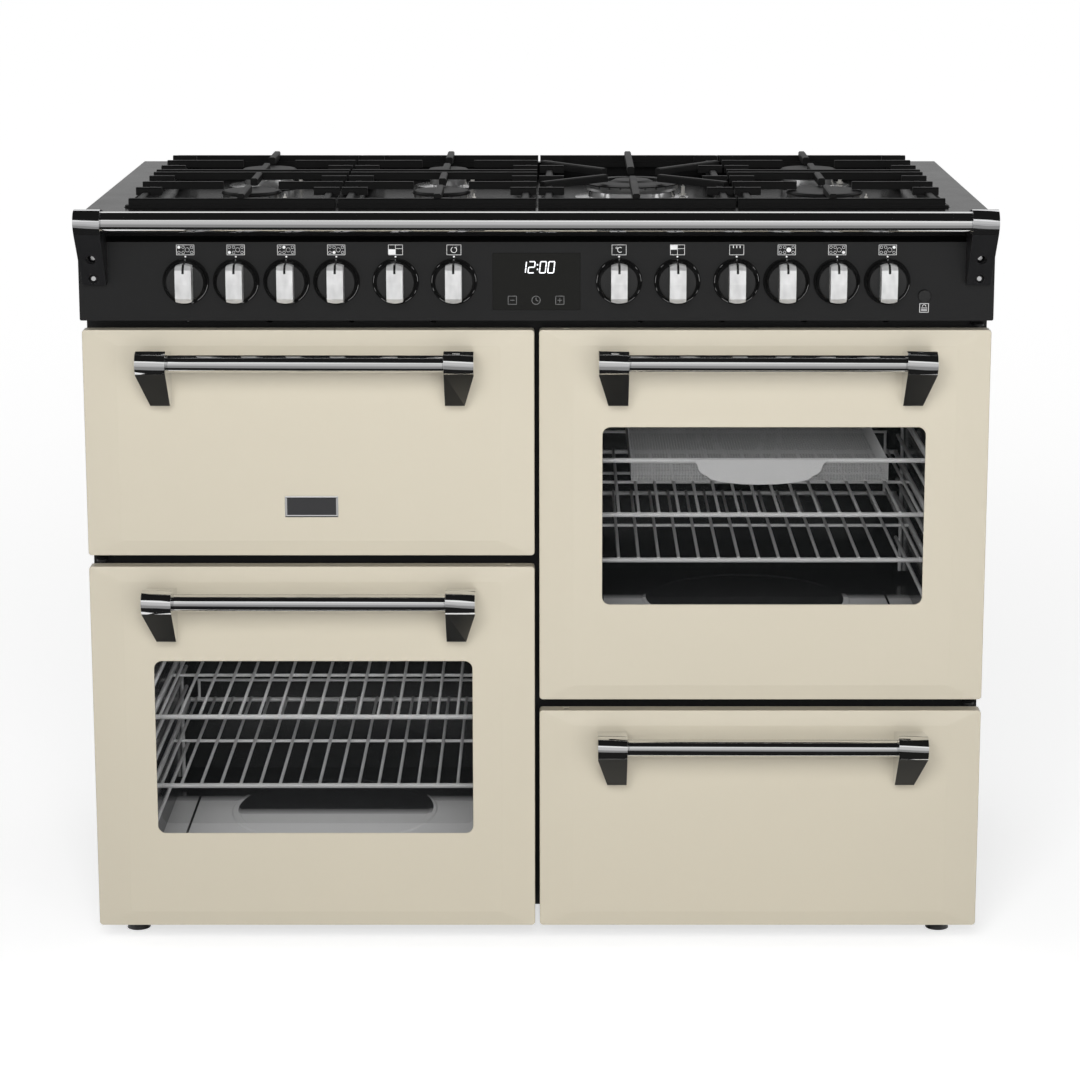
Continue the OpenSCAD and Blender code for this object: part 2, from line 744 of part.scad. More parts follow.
// Taps, switches and the gas rail behind the fascia, with the inlet pipe to the rear
module gas_rail() {
    pipe_r = rail_pipe_d / 2;
    color([0.72, 0.6, 0.35]) place() difference() {
        union() {
            rod_x([knob_x[0] - rail_end, inlet_x], rail_pipe_y, rail_pipe_z, rail_pipe_d);
            translate([inlet_x, rail_pipe_y, rail_pipe_z]) sphere(d = rail_pipe_d);
            rod_y(inlet_x, [rail_pipe_y, cooker_d - inlet_l], rail_pipe_z, rail_pipe_d);
            rod_y(inlet_x, [cooker_d - inlet_l - 2, cooker_d], rail_pipe_z, inlet_d);
            for (i = [0 : len(knob_x) - 1]) {
                gas = len(search(i, gas_knobs)) > 0;
                w = gas ? tap_w : switch_w;
                rod_y(knob_x[i], [tap_y, tap_y + tap_nose], knob_z, gas ? tap_d : switch_d);
                box([knob_x[i] - w / 2, knob_x[i] + w / 2], [tap_y + tap_nose, tap_y + tap_deep],
                    [rail_pipe_z - pipe_r, knob_z + tap_head]);
            }
            for (i = gas_knobs)
                box([knob_x[i] - pipe_r - 1, knob_x[i] + pipe_r + 1],
                    [tap_y + tap_deep - 2, rail_pipe_y],
                    [rail_pipe_z - pipe_r + 1, rail_pipe_z + pipe_r - 1]);
            for (x = [-clip_x, clip_x])
                box([x - clip_w / 2, x + clip_w / 2], [tap_y + tap_nose + 4, rail_pipe_y],
                    [rail_pipe_z - clip_h / 2, rail_pipe_z + clip_h / 2]);
        }
        for (x = knob_x)
            rod_y(x, [tap_y - 1, knob_y + spindle_l + seat], knob_z, spindle_d + 2 * run);
        rod_y(inlet_x, [cooker_d - inlet_l - 8, cooker_d + 1], rail_pipe_z, inlet_bore_d);
    }
}

// Chrome tube between the rail brackets
module front_rail() {
    inner_x = half_w - bracket_inset - bracket_w * 0.6 - seat;
    color("silver") place() difference() {
        rod_x([-inner_x, inner_x], -bar_reach, rail_z, rail_d);
        rod_x([-inner_x - 1, inner_x + 1], -bar_reach, rail_z, rail_d - 2 * rail_wall);
    }
}

// Two brackets that carry the rail, bolted to the fascia's ends
module rail_brackets() {
    out_x = half_w - bracket_inset;
    depth = bar_reach - fascia_reach - seat;
    color([0.12, 0.12, 0.12]) place() for (s = [-1, 1]) difference() {
        translate([0, -bar_reach, rail_z])
            post([s * out_x, s * (out_x - bracket_w)], depth, post_foot_t * 0.6,
                rail_z - bracket_bottom_z, nose_d / 2, bracket_taper);
        rod_x(s < 0 ? [-out_x + bracket_w * 0.4, -out_x + bracket_w + 1]
            : [out_x - bracket_w - 1, out_x - bracket_w * 0.4], -bar_reach, rail_z, rail_d + 2 * run);
        for (z = bolt_z) rod_y(s * bolt_x, [-bar_reach, 0], z, bolt_shank_d + 2 * run);
        for (z = bolt_z)
            rod_y(s * bolt_x, [-bar_reach, bolt_seat_y(z)], z, bolt_d + 2 * run);
    }
}

// Depth at which the bracket is spot-faced for a bolt's head
function bolt_seat_y(z) = fascia_y - seat - post_foot_t * 0.6 * 0.55;

// Four dome bolts with their shanks
module rail_bolts() {
    color("silver") place() for (s = [-1, 1], z = bolt_z)
        translate([s * bolt_x, bolt_seat_y(z) - seat, z]) rotate([90, 0, 0]) {
            rotate_extrude($fn = 32) polygon([[0, 0], [bolt_d / 2, 0], [bolt_d / 2, bolt_head_h * 0.35],
                [bolt_d / 2 - 1.2, bolt_head_h * 0.75], [bolt_d / 4, bolt_head_h], [0, bolt_head_h]]);
            translate([0, 0, -9]) cylinder(d = bolt_shank_d, h = 9.1);
        }
}

// Front frame: a plate with four mouths, its lip round the edge, hinge brackets and pins
module front_frame() {
    color([0.07, 0.07, 0.07]) place() {
        difference() {
            box([-half_w, half_w], [frame_y, frame_y + frame_t], [base_z, hob_z - hob_lip - seat]);
            for (c = cavities) box([c[0] - cavity_w / 2, c[0] + cavity_w / 2],
                [frame_y - 1, frame_y + frame_t + 1], [c[1], c[2]]);
            // Windows for the taps and pipes behind the fascia
            box([-half_w + 14, half_w - 14], [frame_y - 1, frame_y + frame_t + 1],
                [fascia_bottom_z + 8, fascia_top_z - 10]);
            // Round vents in the strip between the fascia and the doors
            for (s = [-1, 1], i = [0 : 3])
                rod_y(s * (door_cx + (i - 1.5) * vent_pitch), [frame_y - 1, frame_y + frame_t + 1],
                    (door_top_z + fascia_bottom_z) / 2, vent_d);
        }
        // Brackets and pins of the three side-hinged doors
        for (d = [[-1, door_bottom_z, tall_door_h], [1, right_z, tall_door_h],
            [1, door_bottom_z, small_door_h]]) for (up = [0, 1])
            hinge_bracket(d[0], up == 1 ? d[1] + d[2] : d[1], up);
        // Arms and pins of the grill door
        for (i = [0, 1]) grill_arm(grill_arm_x[i], i == 0 ? -1 : 1);
    }
}

module hinge_bracket(s, z, up) {
    pin_x = s * (half_w - hinge_inset);
    z0 = up == 1 ? z + play : z - play - hinge_t;
    floor_plate(0, 0, z0, hinge_t) {
        translate([pin_x, hinge_y]) circle(hinge_pin_d / 2 + 4);
        translate([pin_x - hinge_pin_d / 2 - 4, hinge_y])
            square([hinge_pin_d + 8, frame_y - hinge_y]);
    }
    rod_z(pin_x, hinge_y, up == 1 ? [z - inner_inset - hinge_pin_l, z0 + hinge_t]
        : [z0, z + inner_inset + hinge_pin_l], hinge_pin_d);
    // The lowest bracket stands on a web under the front frame
    if (z0 < base_z) box([pin_x - hinge_pin_d / 2 - 4, pin_x + hinge_pin_d / 2 + 4],
        [frame_y, frame_y + frame_t], [z0, base_z]);
}

module grill_arm(x, s) {
    translate([x, 0, 0]) rotate([90, 0, 90]) linear_extrude(grill_arm_t) {
        translate([grill_pivot_y, grill_pivot_z]) circle(hinge_pin_d / 2 + 3.5);
        translate([grill_pivot_y, grill_pivot_z - 3]) square([frame_y - grill_pivot_y, 9]);
    }
    rod_x(s < 0 ? [x - hinge_pin_l, x + 1] : [x + grill_arm_t - 1, x + grill_arm_t + hinge_pin_l],
        grill_pivot_y, grill_pivot_z, hinge_pin_d);
}

// Side panels with their folded rear edges
module side_panels() {
    color([0.13, 0.13, 0.13]) place() for (s = [-1, 1]) {
        box(s < 0 ? [-half_w, -half_w + sheet_t] : [half_w - sheet_t, half_w],
            [liner_y, cooker_d], [base_z, hob_z - hob_lip - seat]);
        box(s < 0 ? [-half_w, -half_w + side_fold] : [half_w - side_fold, half_w],
            [back_y + seat + sheet_t, back_y + seat + 2 * sheet_t], [base_z, hob_z - hob_lip - seat]);
    }
}

// Back panel with louvres, the cable entry and the hole for the gas inlet
module back_panel() {
    color([0.6, 0.6, 0.6]) place() difference() {
        box([-half_w + sheet_t + seat, half_w - sheet_t - seat], [back_y, back_y + sheet_t],
            [base_z + base_h + seat, hob_z - hob_lip - seat - 2]);
        rod_y(inlet_x, [back_y - 1, back_y + sheet_t + 1], rail_pipe_z, inlet_hole_d);
        rod_y(-half_w + cable_inset, [back_y - 1, back_y + sheet_t + 1], cable_z, cable_hole_d);
        for (s = [-1, 1], i = [0 : louvre_count - 1])
            box([s * door_cx - louvre_l / 2, s * door_cx + louvre_l / 2],
                [back_y - 1, back_y + sheet_t + 1],
                [louvre_z + i * louvre_pitch, louvre_z + i * louvre_pitch + louvre_h]);
    }
}

// Base frame: tray with turned-down sides and a boss for every foot
module base_frame() {
    x = half_w - sheet_t - seat;
    y = [liner_y, back_y + sheet_t];
    color([0.3, 0.3, 0.3]) place() difference() {
        union() {
            difference() {
                box([-x, x], y, [base_z, base_z + base_h]);
                box([-x + sheet_t, x - sheet_t], [y[0] + sheet_t, y[1] - sheet_t],
                    [base_z - 1, base_z + base_h - sheet_t]);
            }
            for (p = foot_places)
                rod_z(p[0], p[1], [base_z, base_z + base_h], stud_d + 14);
        }
        for (p = foot_places)
            rod_z(p[0], p[1], [base_z - 1, base_z + base_h + 1], stud_d + 2 * run);
    }
}

// Levelling feet: pad, hexagon collar and stud
module feet() {
    color([0.1, 0.1, 0.1]) place() for (p = foot_places) translate([p[0], p[1], 0]) {
        cylinder(d1 = foot_d, d2 = foot_d - 6, h = foot_pad_h);
        translate([0, 0, foot_pad_h - 1]) cylinder(d = 17, h = 9, $fn = 6);
        cylinder(d = stud_d, h = base_z + base_h - 2);
    }
}

// Cavity liner: a box open to the front, with a flange against the front frame
module liner(c, depth) {
    x = [c[0] - cavity_w / 2, c[0] + cavity_w / 2];
    difference() {
        union() {
            box([x[0] - liner_t, x[1] + liner_t], [liner_y, liner_y + depth + liner_t],
                [c[1] - liner_t, c[2] + liner_t]);
            box([x[0] - liner_flange, x[1] + liner_flange], [liner_y, liner_y + liner_t],
                [c[1] - liner_flange, c[2] + liner_flange]);
        }
        box(x, [liner_y - 1, liner_y + depth], [c[1], c[2]]);
    }
}

// Round pressing in an oven floor
module floor_pressing(c, depth) {
    translate([c[0], liner_y + depth / 2 + pressing_shift, c[1]]) rotate_extrude($fn = 64)
        polygon([[pressing_r - pressing_w, -0.5], [pressing_r, -0.5],
            [pressing_r - 3, pressing_h], [pressing_r - pressing_w + 3, pressing_h]]);
}

module left_oven_liner() {
    color([0.1, 0.1, 0.1]) place() {
        liner(cavities[0], cavity_d);
        floor_pressing(cavities[0], cavity_d);
    }
}

// The fan oven's liner has a motor housing behind its rear wall, with the shaft's bearing bore
module right_oven_liner() {
    c = cavities[1];
    rear = liner_y + fan_cavity_d;
    z = (c[1] + c[2]) / 2;
    color([0.1, 0.1, 0.1]) place() difference() {
        union() {
            liner(c, fan_cavity_d);
            floor_pressing(c, cavity_d);
            rod_y(c[0], [rear, back_y - motor_gap], z, motor_d);
        }
        rod_y(c[0], [rear - 1, rear + fan_shaft_l + seat], z, fan_shaft_d + 2 * run);
    }
}

module grill_liner() { color([0.1, 0.1, 0.1]) place() liner(cavities[2], cavity_d); }
module storage_liner() { color([0.14, 0.14, 0.14]) place() liner(cavities[3], cavity_d); }

// Ladder guides on both side walls of both ovens
module shelf_guides() {
    color("silver") place() for (c = [cavities[0], cavities[1]], s = [-1, 1]) {
        wall = c[0] + s * cavity_w / 2;
        post_x = wall - s * (seat + guide_wire / 2);
        wire_x = wall - s * guide_in;
        for (y = [liner_y + guide_post_gap[0], liner_y + cavity_d - guide_post_gap[1]])
            rod_z(post_x, y, [c[1] + guide_post_low,
                c[1] + guide_rise[len(guide_rise) - 1] + guide_post_over], guide_wire);
        for (r = guide_rise)
            rod_y(wire_x, [liner_y + guide_gap[0], liner_y + cavity_d - guide_gap[1]], c[1] + r,
                guide_wire);
    }
}

// Wire shelf: frame, middle wire and rods, with an upstand at the rear
module shelf(c, level) {
    z = c[1] + guide_rise[level] + guide_wire / 2 + seat + shelf_wire / 2;
    half = cavity_w / 2 - guide_in - 1.3;
    y = [shelf_front, shelf_front + shelf_d];
    n = floor((2 * half - 10) / rod_pitch);
    translate([c[0], 0, 0]) {
        for (s = [-1, 1]) rod_y(s * half, y, z, shelf_wire);
        for (yy = [y[0], y[1]]) rod_x([-half - shelf_wire / 2, half + shelf_wire / 2], yy, z,
            shelf_wire);
        rod_x([-half, half], y[0] + shelf_d / 2, z - 0.5, rod_wire);
        for (i = [0 : n]) rod_y((i - n / 2) * rod_pitch, [y[0] - wire_reach, y[1]],
            z + shelf_wire / 2 - 0.5, rod_wire);
        // Upstand that keeps dishes off the rear wall
        for (s = [-1, 1]) rod_z(s * (half - upstand_inset), y[1], [z, z + upstand_h], rod_wire);
        rod_x([-half + upstand_inset - 2, half - upstand_inset + 2], y[1], z + upstand_h, rod_wire);
    }
}

module oven_shelves() {
    color("silver") place() {
        for (level = left_levels) shelf(cavities[0], level);
        for (level = right_levels) shelf(cavities[1], level);
    }
}

// Fry basket: wires that ride on the guides, a rim, a perforated tray and a handle plate
module fry_basket() {
    c = cavities[1];
    z = c[1] + guide_rise[basket_level] + guide_wire / 2 + seat + shelf_wire / 2;
    half = cavity_w / 2 - guide_in - 1.3;
    y = [shelf_front, shelf_front + basket_d];
    cols = 2 * floor((basket_w / 2 - basket_margin - basket_hole[0] / 2) / basket_pitch[0]);
    rows = floor((basket_d - 2 * basket_margin - basket_hole[1]) / basket_pitch[1]);
    arc_w = basket_grip_w / 2 - grip_shoulder[4][0];
    arc_z = grip_shoulder[4][1];
    color("silver") place() translate([c[0], 0, 0]) {
        for (yy = y) rod_x([-half - shelf_wire / 2, half + shelf_wire / 2], yy, z, shelf_wire);
        for (s = [-1, 1]) rod_y(s * half, y, z, shelf_wire);
        difference() {
            box([-basket_w / 2, basket_w / 2], [y[0] + 0.6, y[1] - 0.6],
                [z - basket_h, z - 0.8]);
            box([-basket_w / 2 + basket_wall, basket_w / 2 - basket_wall],
                [y[0] + 0.6 + basket_wall, y[1] - 0.6 - basket_wall], [z - basket_h - 1, z]);
        }
        floor_plate(0, 0, z - basket_h, basket_wall) difference() {
            translate([-basket_w / 2 + 0.5, y[0] + 1]) square([basket_w - 1, basket_d - 2]);
            for (i = [-cols / 2 : cols / 2], j = [0 : rows])
                translate([i * basket_pitch[0] - basket_hole[0] / 2,
                    y[0] + basket_margin + j * basket_pitch[1]]) square(basket_hole);
        }
        plate(0, z, y[0] - shelf_wire / 2 - 1.3, grip_plate_t) polygon(concat(
            [[-basket_grip_w / 2, 2]],
            [for (p = grip_shoulder) [p[0] - basket_grip_w / 2, -p[1]]],
            [for (t = [20 : 20 : 160]) [-arc_w * cos(t), -arc_z - (basket_grip_h - arc_z) * sin(t)]],
            [for (i = [1 : len(grip_shoulder)]) let (p = grip_shoulder[len(grip_shoulder) - i])
                [basket_grip_w / 2 - p[0], -p[1]]],
            [[basket_grip_w / 2, 2]]));
    }
}

// Fan cover: plate on spacers with a round grille of slots
module fan_cover() {
    c = cavities[1];
    z = (c[1] + c[2]) / 2;
    rear = liner_y + fan_cavity_d;
    color([0.12, 0.12, 0.12]) place() {
        difference() {
            plate(c[0], z, rear - fan_gap, cover_t)
                rounded(cavity_w - cover_margin[0], c[2] - c[1] - cover_margin[1], cover_r);
            for (a = [0 : 30 : 330], r = cover_rings)
                translate([c[0], rear - fan_gap - 1, z]) rotate([0, a, 0])
                    box([-r * 0.2, r * 0.2], [0, cover_t + 2], [r - cover_slot / 2, r + cover_slot / 2]);
        }
        for (sx = [-1, 1], sz = [-1, 1])
            rod_y(c[0] + sx * (cavity_w / 2 - spacer_inset[0]), [rear - fan_gap + cover_t - 0.5,
                rear - seat], z + sz * ((c[2] - c[1]) / 2 - spacer_inset[1]), spacer_d);
    }
}

// Fan rotor: disc with bent blades on its shaft
module fan_rotor() {
    c = cavities[1];
    z = (c[1] + c[2]) / 2;
    rear = liner_y + fan_cavity_d;
    color("silver") place() translate([c[0], rear - fan_rear_play, z]) {
        rotate([90, 0, 0]) cylinder(d = fan_d, h = blade_t, $fn = 64);
        rotate([90, 0, 0]) cylinder(d = hub_d, h = hub_h);
        for (a = [0 : 30 : 330]) rotate([0, a, 0])
            translate([fan_d * 0.28, 0, 0]) rotate([0, blade_angle, 0])
                box([0, fan_d * 0.2], [-hub_h, -1], [-blade_t / 2, blade_t / 2]);
        rotate([-90, 0, 0]) cylinder(d = fan_shaft_d, h = fan_rear_play + fan_shaft_l);
    }
}

// Grill element: one rod in hairpins under the grill's ceiling, with its two ends through the rear
module grill_element() {
    c = cavities[2];
    z = c[2] - element_drop;
    y = [liner_y + element_gap[0], liner_y + cavity_d - element_gap[1]];
    pitch = element_pitch;
    n = element_turns;
    color([0.25, 0.24, 0.24]) place() {
        for (i = [0 : n]) rod_y(c[0] + (i - n / 2) * pitch,
            [y[0], i == 0 || i == n ? liner_y + cavity_d - seat : y[1]], z, element_d);
        for (i = [0 : n - 1]) translate([c[0] + (i - n / 2 + 0.5) * pitch, i % 2 == 0 ? y[0] : y[1], z])
            rotate([0, 0, i % 2 == 0 ? 180 : 0]) rotate_extrude(angle = 180, $fn = 32)
                translate([pitch / 2, 0]) circle(element_d / 2, $fn = 24);
        // Hangers that clip the element to the ceiling
        for (x = [-1, 1], e = [0, 1]) {
            hanger_y = y[e] + (e == 0 ? -1 : 1) * (pitch / 2 - 3);
            box([c[0] + x * pitch / 2 - hanger_w / 2, c[0] + x * pitch / 2 + hanger_w / 2],
                [hanger_y - 3, hanger_y + 3], [z - 3, c[2] - seat]);
        }
    }
}

// Grill pan: a pressed tray with a rolled rim and two side grips
module grill_pan() {
    c = cavities[2];
    z = c[1] + seat;
    cy = liner_y + cavity_d / 2;
    color([0.09, 0.09, 0.09]) place() difference() {
        union() {
            floor_plate(c[0], cy, z, pan_h) rounded(pan_size[0], pan_size[1], pan_corner_r);
            floor_plate(c[0], cy, z + pan_h - pan_rim_t, pan_rim_t)
                rounded(pan_size[0] + 2 * pan_rim, pan_size[1] + 2 * pan_rim, pan_corner_r + 4);
        }
        floor_plate(c[0], cy, z + pan_wall, pan_h)
            rounded(pan_size[0] - 2 * pan_wall, pan_size[1] - 2 * pan_wall, pan_corner_r - pan_wall);
        for (s = [-1, 1]) floor_plate(c[0] + s * (pan_size[0] / 2 + 5), cy, z + pan_h - 2 * pan_rim_t,
            pan_h) rounded(pan_slot[0], pan_slot[1], 2);
    }
}

// Seals round the mouths of the three heated cavities
module door_seals() {
    color([0.12, 0.12, 0.13]) place() for (c = [cavities[0], cavities[1], cavities[2]])
        plate(c[0], (c[1] + c[2]) / 2, door_t + seat, door_back_gap - 2 * seat) difference() {
            rounded(cavity_w + 2 * seal_w + 2 * seal_gap, c[2] - c[1] + 2 * seal_w + 2 * seal_gap, 12);
            rounded(cavity_w + 2 * seal_gap, c[2] - c[1] + 2 * seal_gap, 6);
        }
}

// Hob: one pressing with a sunken well, rolled front edge and side lips
module hob_panel() {
    lip_z = hob_z - hob_lip;
    well_cy = (well_front + cooker_d - well_rear) / 2;
    color([0.1, 0.1, 0.1]) place() difference() {
        union() {
            difference() {
                box([-half_w, half_w], [0, cooker_d], [lip_z, hob_z]);
                box([-half_w + hob_t, half_w - hob_t], [hob_t, cooker_d - hob_t],
                    [lip_z - 1, hob_z - hob_t]);
            }
            floor_plate(0, well_cy, well_z - hob_t, well_depth)
                rounded(well_w + 2 * hob_t, well_d + 2 * hob_t, well_r + hob_t);
        }
        floor_plate(0, well_cy, well_z, well_depth + 1) rounded(well_w, well_d, well_r);
        for (b = burners) rod_z(b[0], b[1], [well_z - hob_t - 1, well_z + 1], b[2] * 0.7);
        rod_z(inner_burner_x, wok_burner_y, [well_z - hob_t - 1, well_z + 1], wok_d * 0.7);
    }
}

// Burner base: mixing cup under the hob and a polished dish round it
module burner_base(d, dish) {
    cup = d * 0.7 - 2;
    difference() {
        rotate_extrude($fn = 64) polygon([
            [0, -24], [cup / 2, -24], [cup / 2, seat], [dish / 2, seat], [dish / 2, 1.5],
            [d * 0.46, 3], [d * 0.44, 11], [0, 11]]);
        translate([0, 0, -20]) cylinder(d = d * 0.5, h = 40);
        translate([d / 2 + electrode_gap, 0, -1]) cylinder(d = electrode_d + 1, h = 10);
    }
}

module burner_bases() {
    color("silver") place() {
        for (b = burners) translate([b[0], b[1], well_z]) burner_base(b[2], b[2] * 1.12 + 26);
        translate([inner_burner_x, wok_burner_y, well_z]) burner_base(wok_d, wok_d + 24);
    }
}

// Burner head: ring with flame ports round its rim
module burner_head(d, h, ports) {
    difference() {
        rotate_extrude($fn = 64) polygon([[d * 0.2, 0], [d / 2 - 4, 0], [d / 2 - 1.5, h * 0.5],
            [d / 2 - 1.5, h], [d * 0.2, h]]);
        for (i = [0 : ports - 1]) rotate([0, 0, i * 360 / ports])
            translate([d * 0.38, -0.8, h - 2.5]) cube([d * 0.2, 1.6, 3]);
    }
}

module burner_heads() {
    z = well_z + 11 + seat;
    h = cap_z - cap_t - seat - z;
    color([0.75, 0.74, 0.7]) place() {
        for (b = burners) translate([b[0], b[1], z]) burner_head(b[2], h, 16);
        translate([inner_burner_x, wok_burner_y, z]) burner_head(wok_d, h, 24);
    }
}

// Caps with a rounded edge; the wok burner has an outer ring and an inner cap
module burner_caps() {
    z = cap_z - cap_t;
    color([0.07, 0.07, 0.07]) place() {
        for (b = burners) translate([b[0], b[1], z]) rotate_extrude($fn = 64)
            polygon([[0, 0], [b[2] / 2 - 1, 0], [b[2] / 2, 1], [b[2] / 2, cap_t * 0.5],
                [b[2] / 2 - 2.5, cap_t * 0.9], [b[2] / 2 - 8, cap_t], [0, cap_t]]);
        translate([inner_burner_x, wok_burner_y, z]) {
            rotate_extrude($fn = 64) polygon([[wok_d * 0.29, 0], [wok_d / 2, 0],
                [wok_d / 2, cap_t * 0.3], [wok_d / 2 - 6, cap_t * 0.55], [wok_d * 0.29, cap_t * 0.8]]);
            rotate_extrude($fn = 48) polygon([[0, 0], [wok_d * 0.25, 0], [wok_d * 0.25, 1],
                [wok_d * 0.18, cap_t], [0, cap_t]]);
        }
    }
}

// Spark electrode beside every burner: ceramic rod with a metal tip
module electrodes() {
    color("white") place() for (b = concat(burners, [[inner_burner_x, wok_burner_y, wok_d]]))
        translate([b[0] + b[2] / 2 + electrode_gap, b[1], well_z]) {
            translate([0, 0, 3]) cylinder(d = electrode_d, h = electrode_h);
            translate([0, 0, 2 + electrode_h]) cylinder(d = spark_d, h = spark_h);
            translate([0, 0, 3 + seat]) cylinder(d = electrode_d + 4, h = 2);
        }
}

// Cross-section of a cast bar, bevelled along the top
module bar_outline(h) {
    polygon([[-bar_w / 2, 0], [bar_w / 2, 0], [bar_w / 2, h - bar_bevel],
        [bar_w / 2 - bar_bevel, h], [bar_bevel - bar_w / 2, h], [-bar_w / 2, h - bar_bevel]]);
}

module bar_x(x, y, top, h = bar_h) {
    translate([x[0], y, top - h]) rotate([90, 0, 90]) linear_extrude(x[1] - x[0]) bar_outline(h);
}

module bar_y(x, y, top, h = bar_h) {
    translate([x, y[1], top - h]) rotate([90, 0, 0]) linear_extrude(y[1] - y[0]) bar_outline(h);
}

// Straight bar between two points of the plan
module bar_between(a, b, top, h = bar_h) {
    l = sqrt(pow(b[0] - a[0], 2) + pow(b[1] - a[1], 2));
    translate([a[0], a[1], 0]) rotate([0, 0, atan2(b[1] - a[1], b[0] - a[0])]) bar_x([0, l], 0, top, h);
}

// Cast pan support i: frame, feet, stubs, and either two crosses of fingers or the wok's four arms
module pan_support(i) {
    x = support_x[i];
    cx = support_cx[i];
    side = [x[0] + stub_l * 0.4, x[1] - stub_l * 0.4];
    color([0.08, 0.08, 0.08]) place() {
        // Frame with the lip under its front and rear bars
        for (y = [support_front_y, support_rear_y]) {
            bar_x(x, y, frame_top, frame_bar_h);
            box([x[0] - lip_out(i, 0), x[1] + lip_out(i, 1)], [y - bar_w / 2 - 1.5, y + bar_w / 2 + 1.5],
                [frame_top - frame_bar_h, frame_top - frame_bar_h + lip_h]);
        }
        for (sx = side) bar_y(sx, [support_front_y, support_rear_y], frame_top, frame_bar_h);
        for (y = stub_y, s = [0, 1])
            bar_x(s == 0 ? [x[0], x[0] + stub_l] : [x[1] - stub_l, x[1]], y, support_top);
        // Feet in the well
        for (sx = side, y = [support_front_y, support_rear_y])
            rod_z(sx, y, [well_z + seat, frame_top - frame_bar_h + 1], bar_w + 4);
        if (i == 2) wok_arms(x, cx);
        else for (b = [front_burner_y, rear_burner_y]) {
            bar_x([x[0], cx - finger_gap], b, support_top);
            bar_x([cx + finger_gap, x[1]], b, support_top);
        }
        if (i != 2) {
            for (y = middle_y) bar_x(x, y, support_top);
            bar_y(cx, [support_front_y, front_burner_y - finger_gap], support_top);
            bar_y(cx, [front_burner_y + finger_gap, middle_y[0]], support_top);
            bar_y(cx, [middle_y[1], rear_burner_y - finger_gap], support_top);
            bar_y(cx, [rear_burner_y + finger_gap, support_rear_y + 2], support_top);
        }
    }
}

// The lip stands proud of the frame at the hob's outer ends only
function lip_out(i, s) = (i == 0 && s == 0) || (i == 3 && s == 1) ? 4 : 0;

// Four diagonal arms and two fingers that point at the wok burner
module wok_arms(x, cx) {
    tip = finger_gap;
    for (s = [-1, 1]) {
        start_x = s < 0 ? x[0] + bar_w / 2 : x[1] - bar_w / 2;
        bar_between([start_x, front_burner_y], [cx + s * tip, wok_burner_y - tip], support_top);
        bar_between([start_x, rear_burner_y], [cx + s * tip, wok_burner_y + tip], support_top);
    }
    bar_y(cx, [support_front_y, wok_burner_y - wok_d / 2 - wok_finger_gap], support_top);
    bar_y(cx, [wok_burner_y + wok_d / 2 + wok_finger_gap, support_rear_y + 2], support_top);
}

module pan_support_1() { pan_support(0); }
module pan_support_2() { pan_support(1); }
module pan_support_3() { pan_support(2); }
module pan_support_4() { pan_support(3); }
module knob_1() { knob(0); }
module knob_2() { knob(1); }
module knob_3() { knob(2); }
module knob_4() { knob(3); }
module knob_5() { knob(4); }
module knob_6() { knob(5); }
module knob_7() { knob(6); }
module knob_8() { knob(7); }
module knob_9() { knob(8); }
module knob_10() { knob(9); }
module knob_11() { knob(10); }
module knob_12() { knob(11); }

side_panels();
back_panel();
base_frame();
front_frame();
left_oven_liner();
right_oven_liner();
grill_liner();
storage_liner();
shelf_guides();
oven_shelves();
fry_basket();
fan_cover();
grill_element();
grill_pan();
fascia();
timer_glass();
knob_bezels();
front_rail();
rail_brackets();
rail_bolts();
hob_panel();
burner_bases();
burner_heads();
burner_caps();
electrodes();
gas_rail();
door_seals();
feet();
fan_rotor();
grill_door_panel();
grill_door_inner();
grill_door_handle();
left_oven_door_panel();
left_oven_door_glass();
left_oven_door_inner();
left_oven_door_handle();
right_oven_door_panel();
right_oven_door_glass();
right_oven_door_inner();
right_oven_door_handle();
storage_door_panel();
storage_door_inner();
storage_door_handle();
pan_support_1();
pan_support_2();
pan_support_3();
pan_support_4();
knob_1();
knob_2();
knob_3();
knob_4();
knob_5();
knob_6();
knob_7();
knob_8();
knob_9();
knob_10();
knob_11();
knob_12();
button();
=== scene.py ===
# %% [markdown]
# # A dual fuel range cooker, dressed for its portrait
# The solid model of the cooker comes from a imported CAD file, whose meshes never change here. This
# lesson adds what CAD leaves out: enamel, chrome and cast iron, the fine mesh of the fry basket, the
# printed signs, two dressed door panels and the studio. Lengths are written in millimetres from the
# doors' front plane, as a fitter would measure them, and turned into metres in one place.

# %% Load the frame
import math

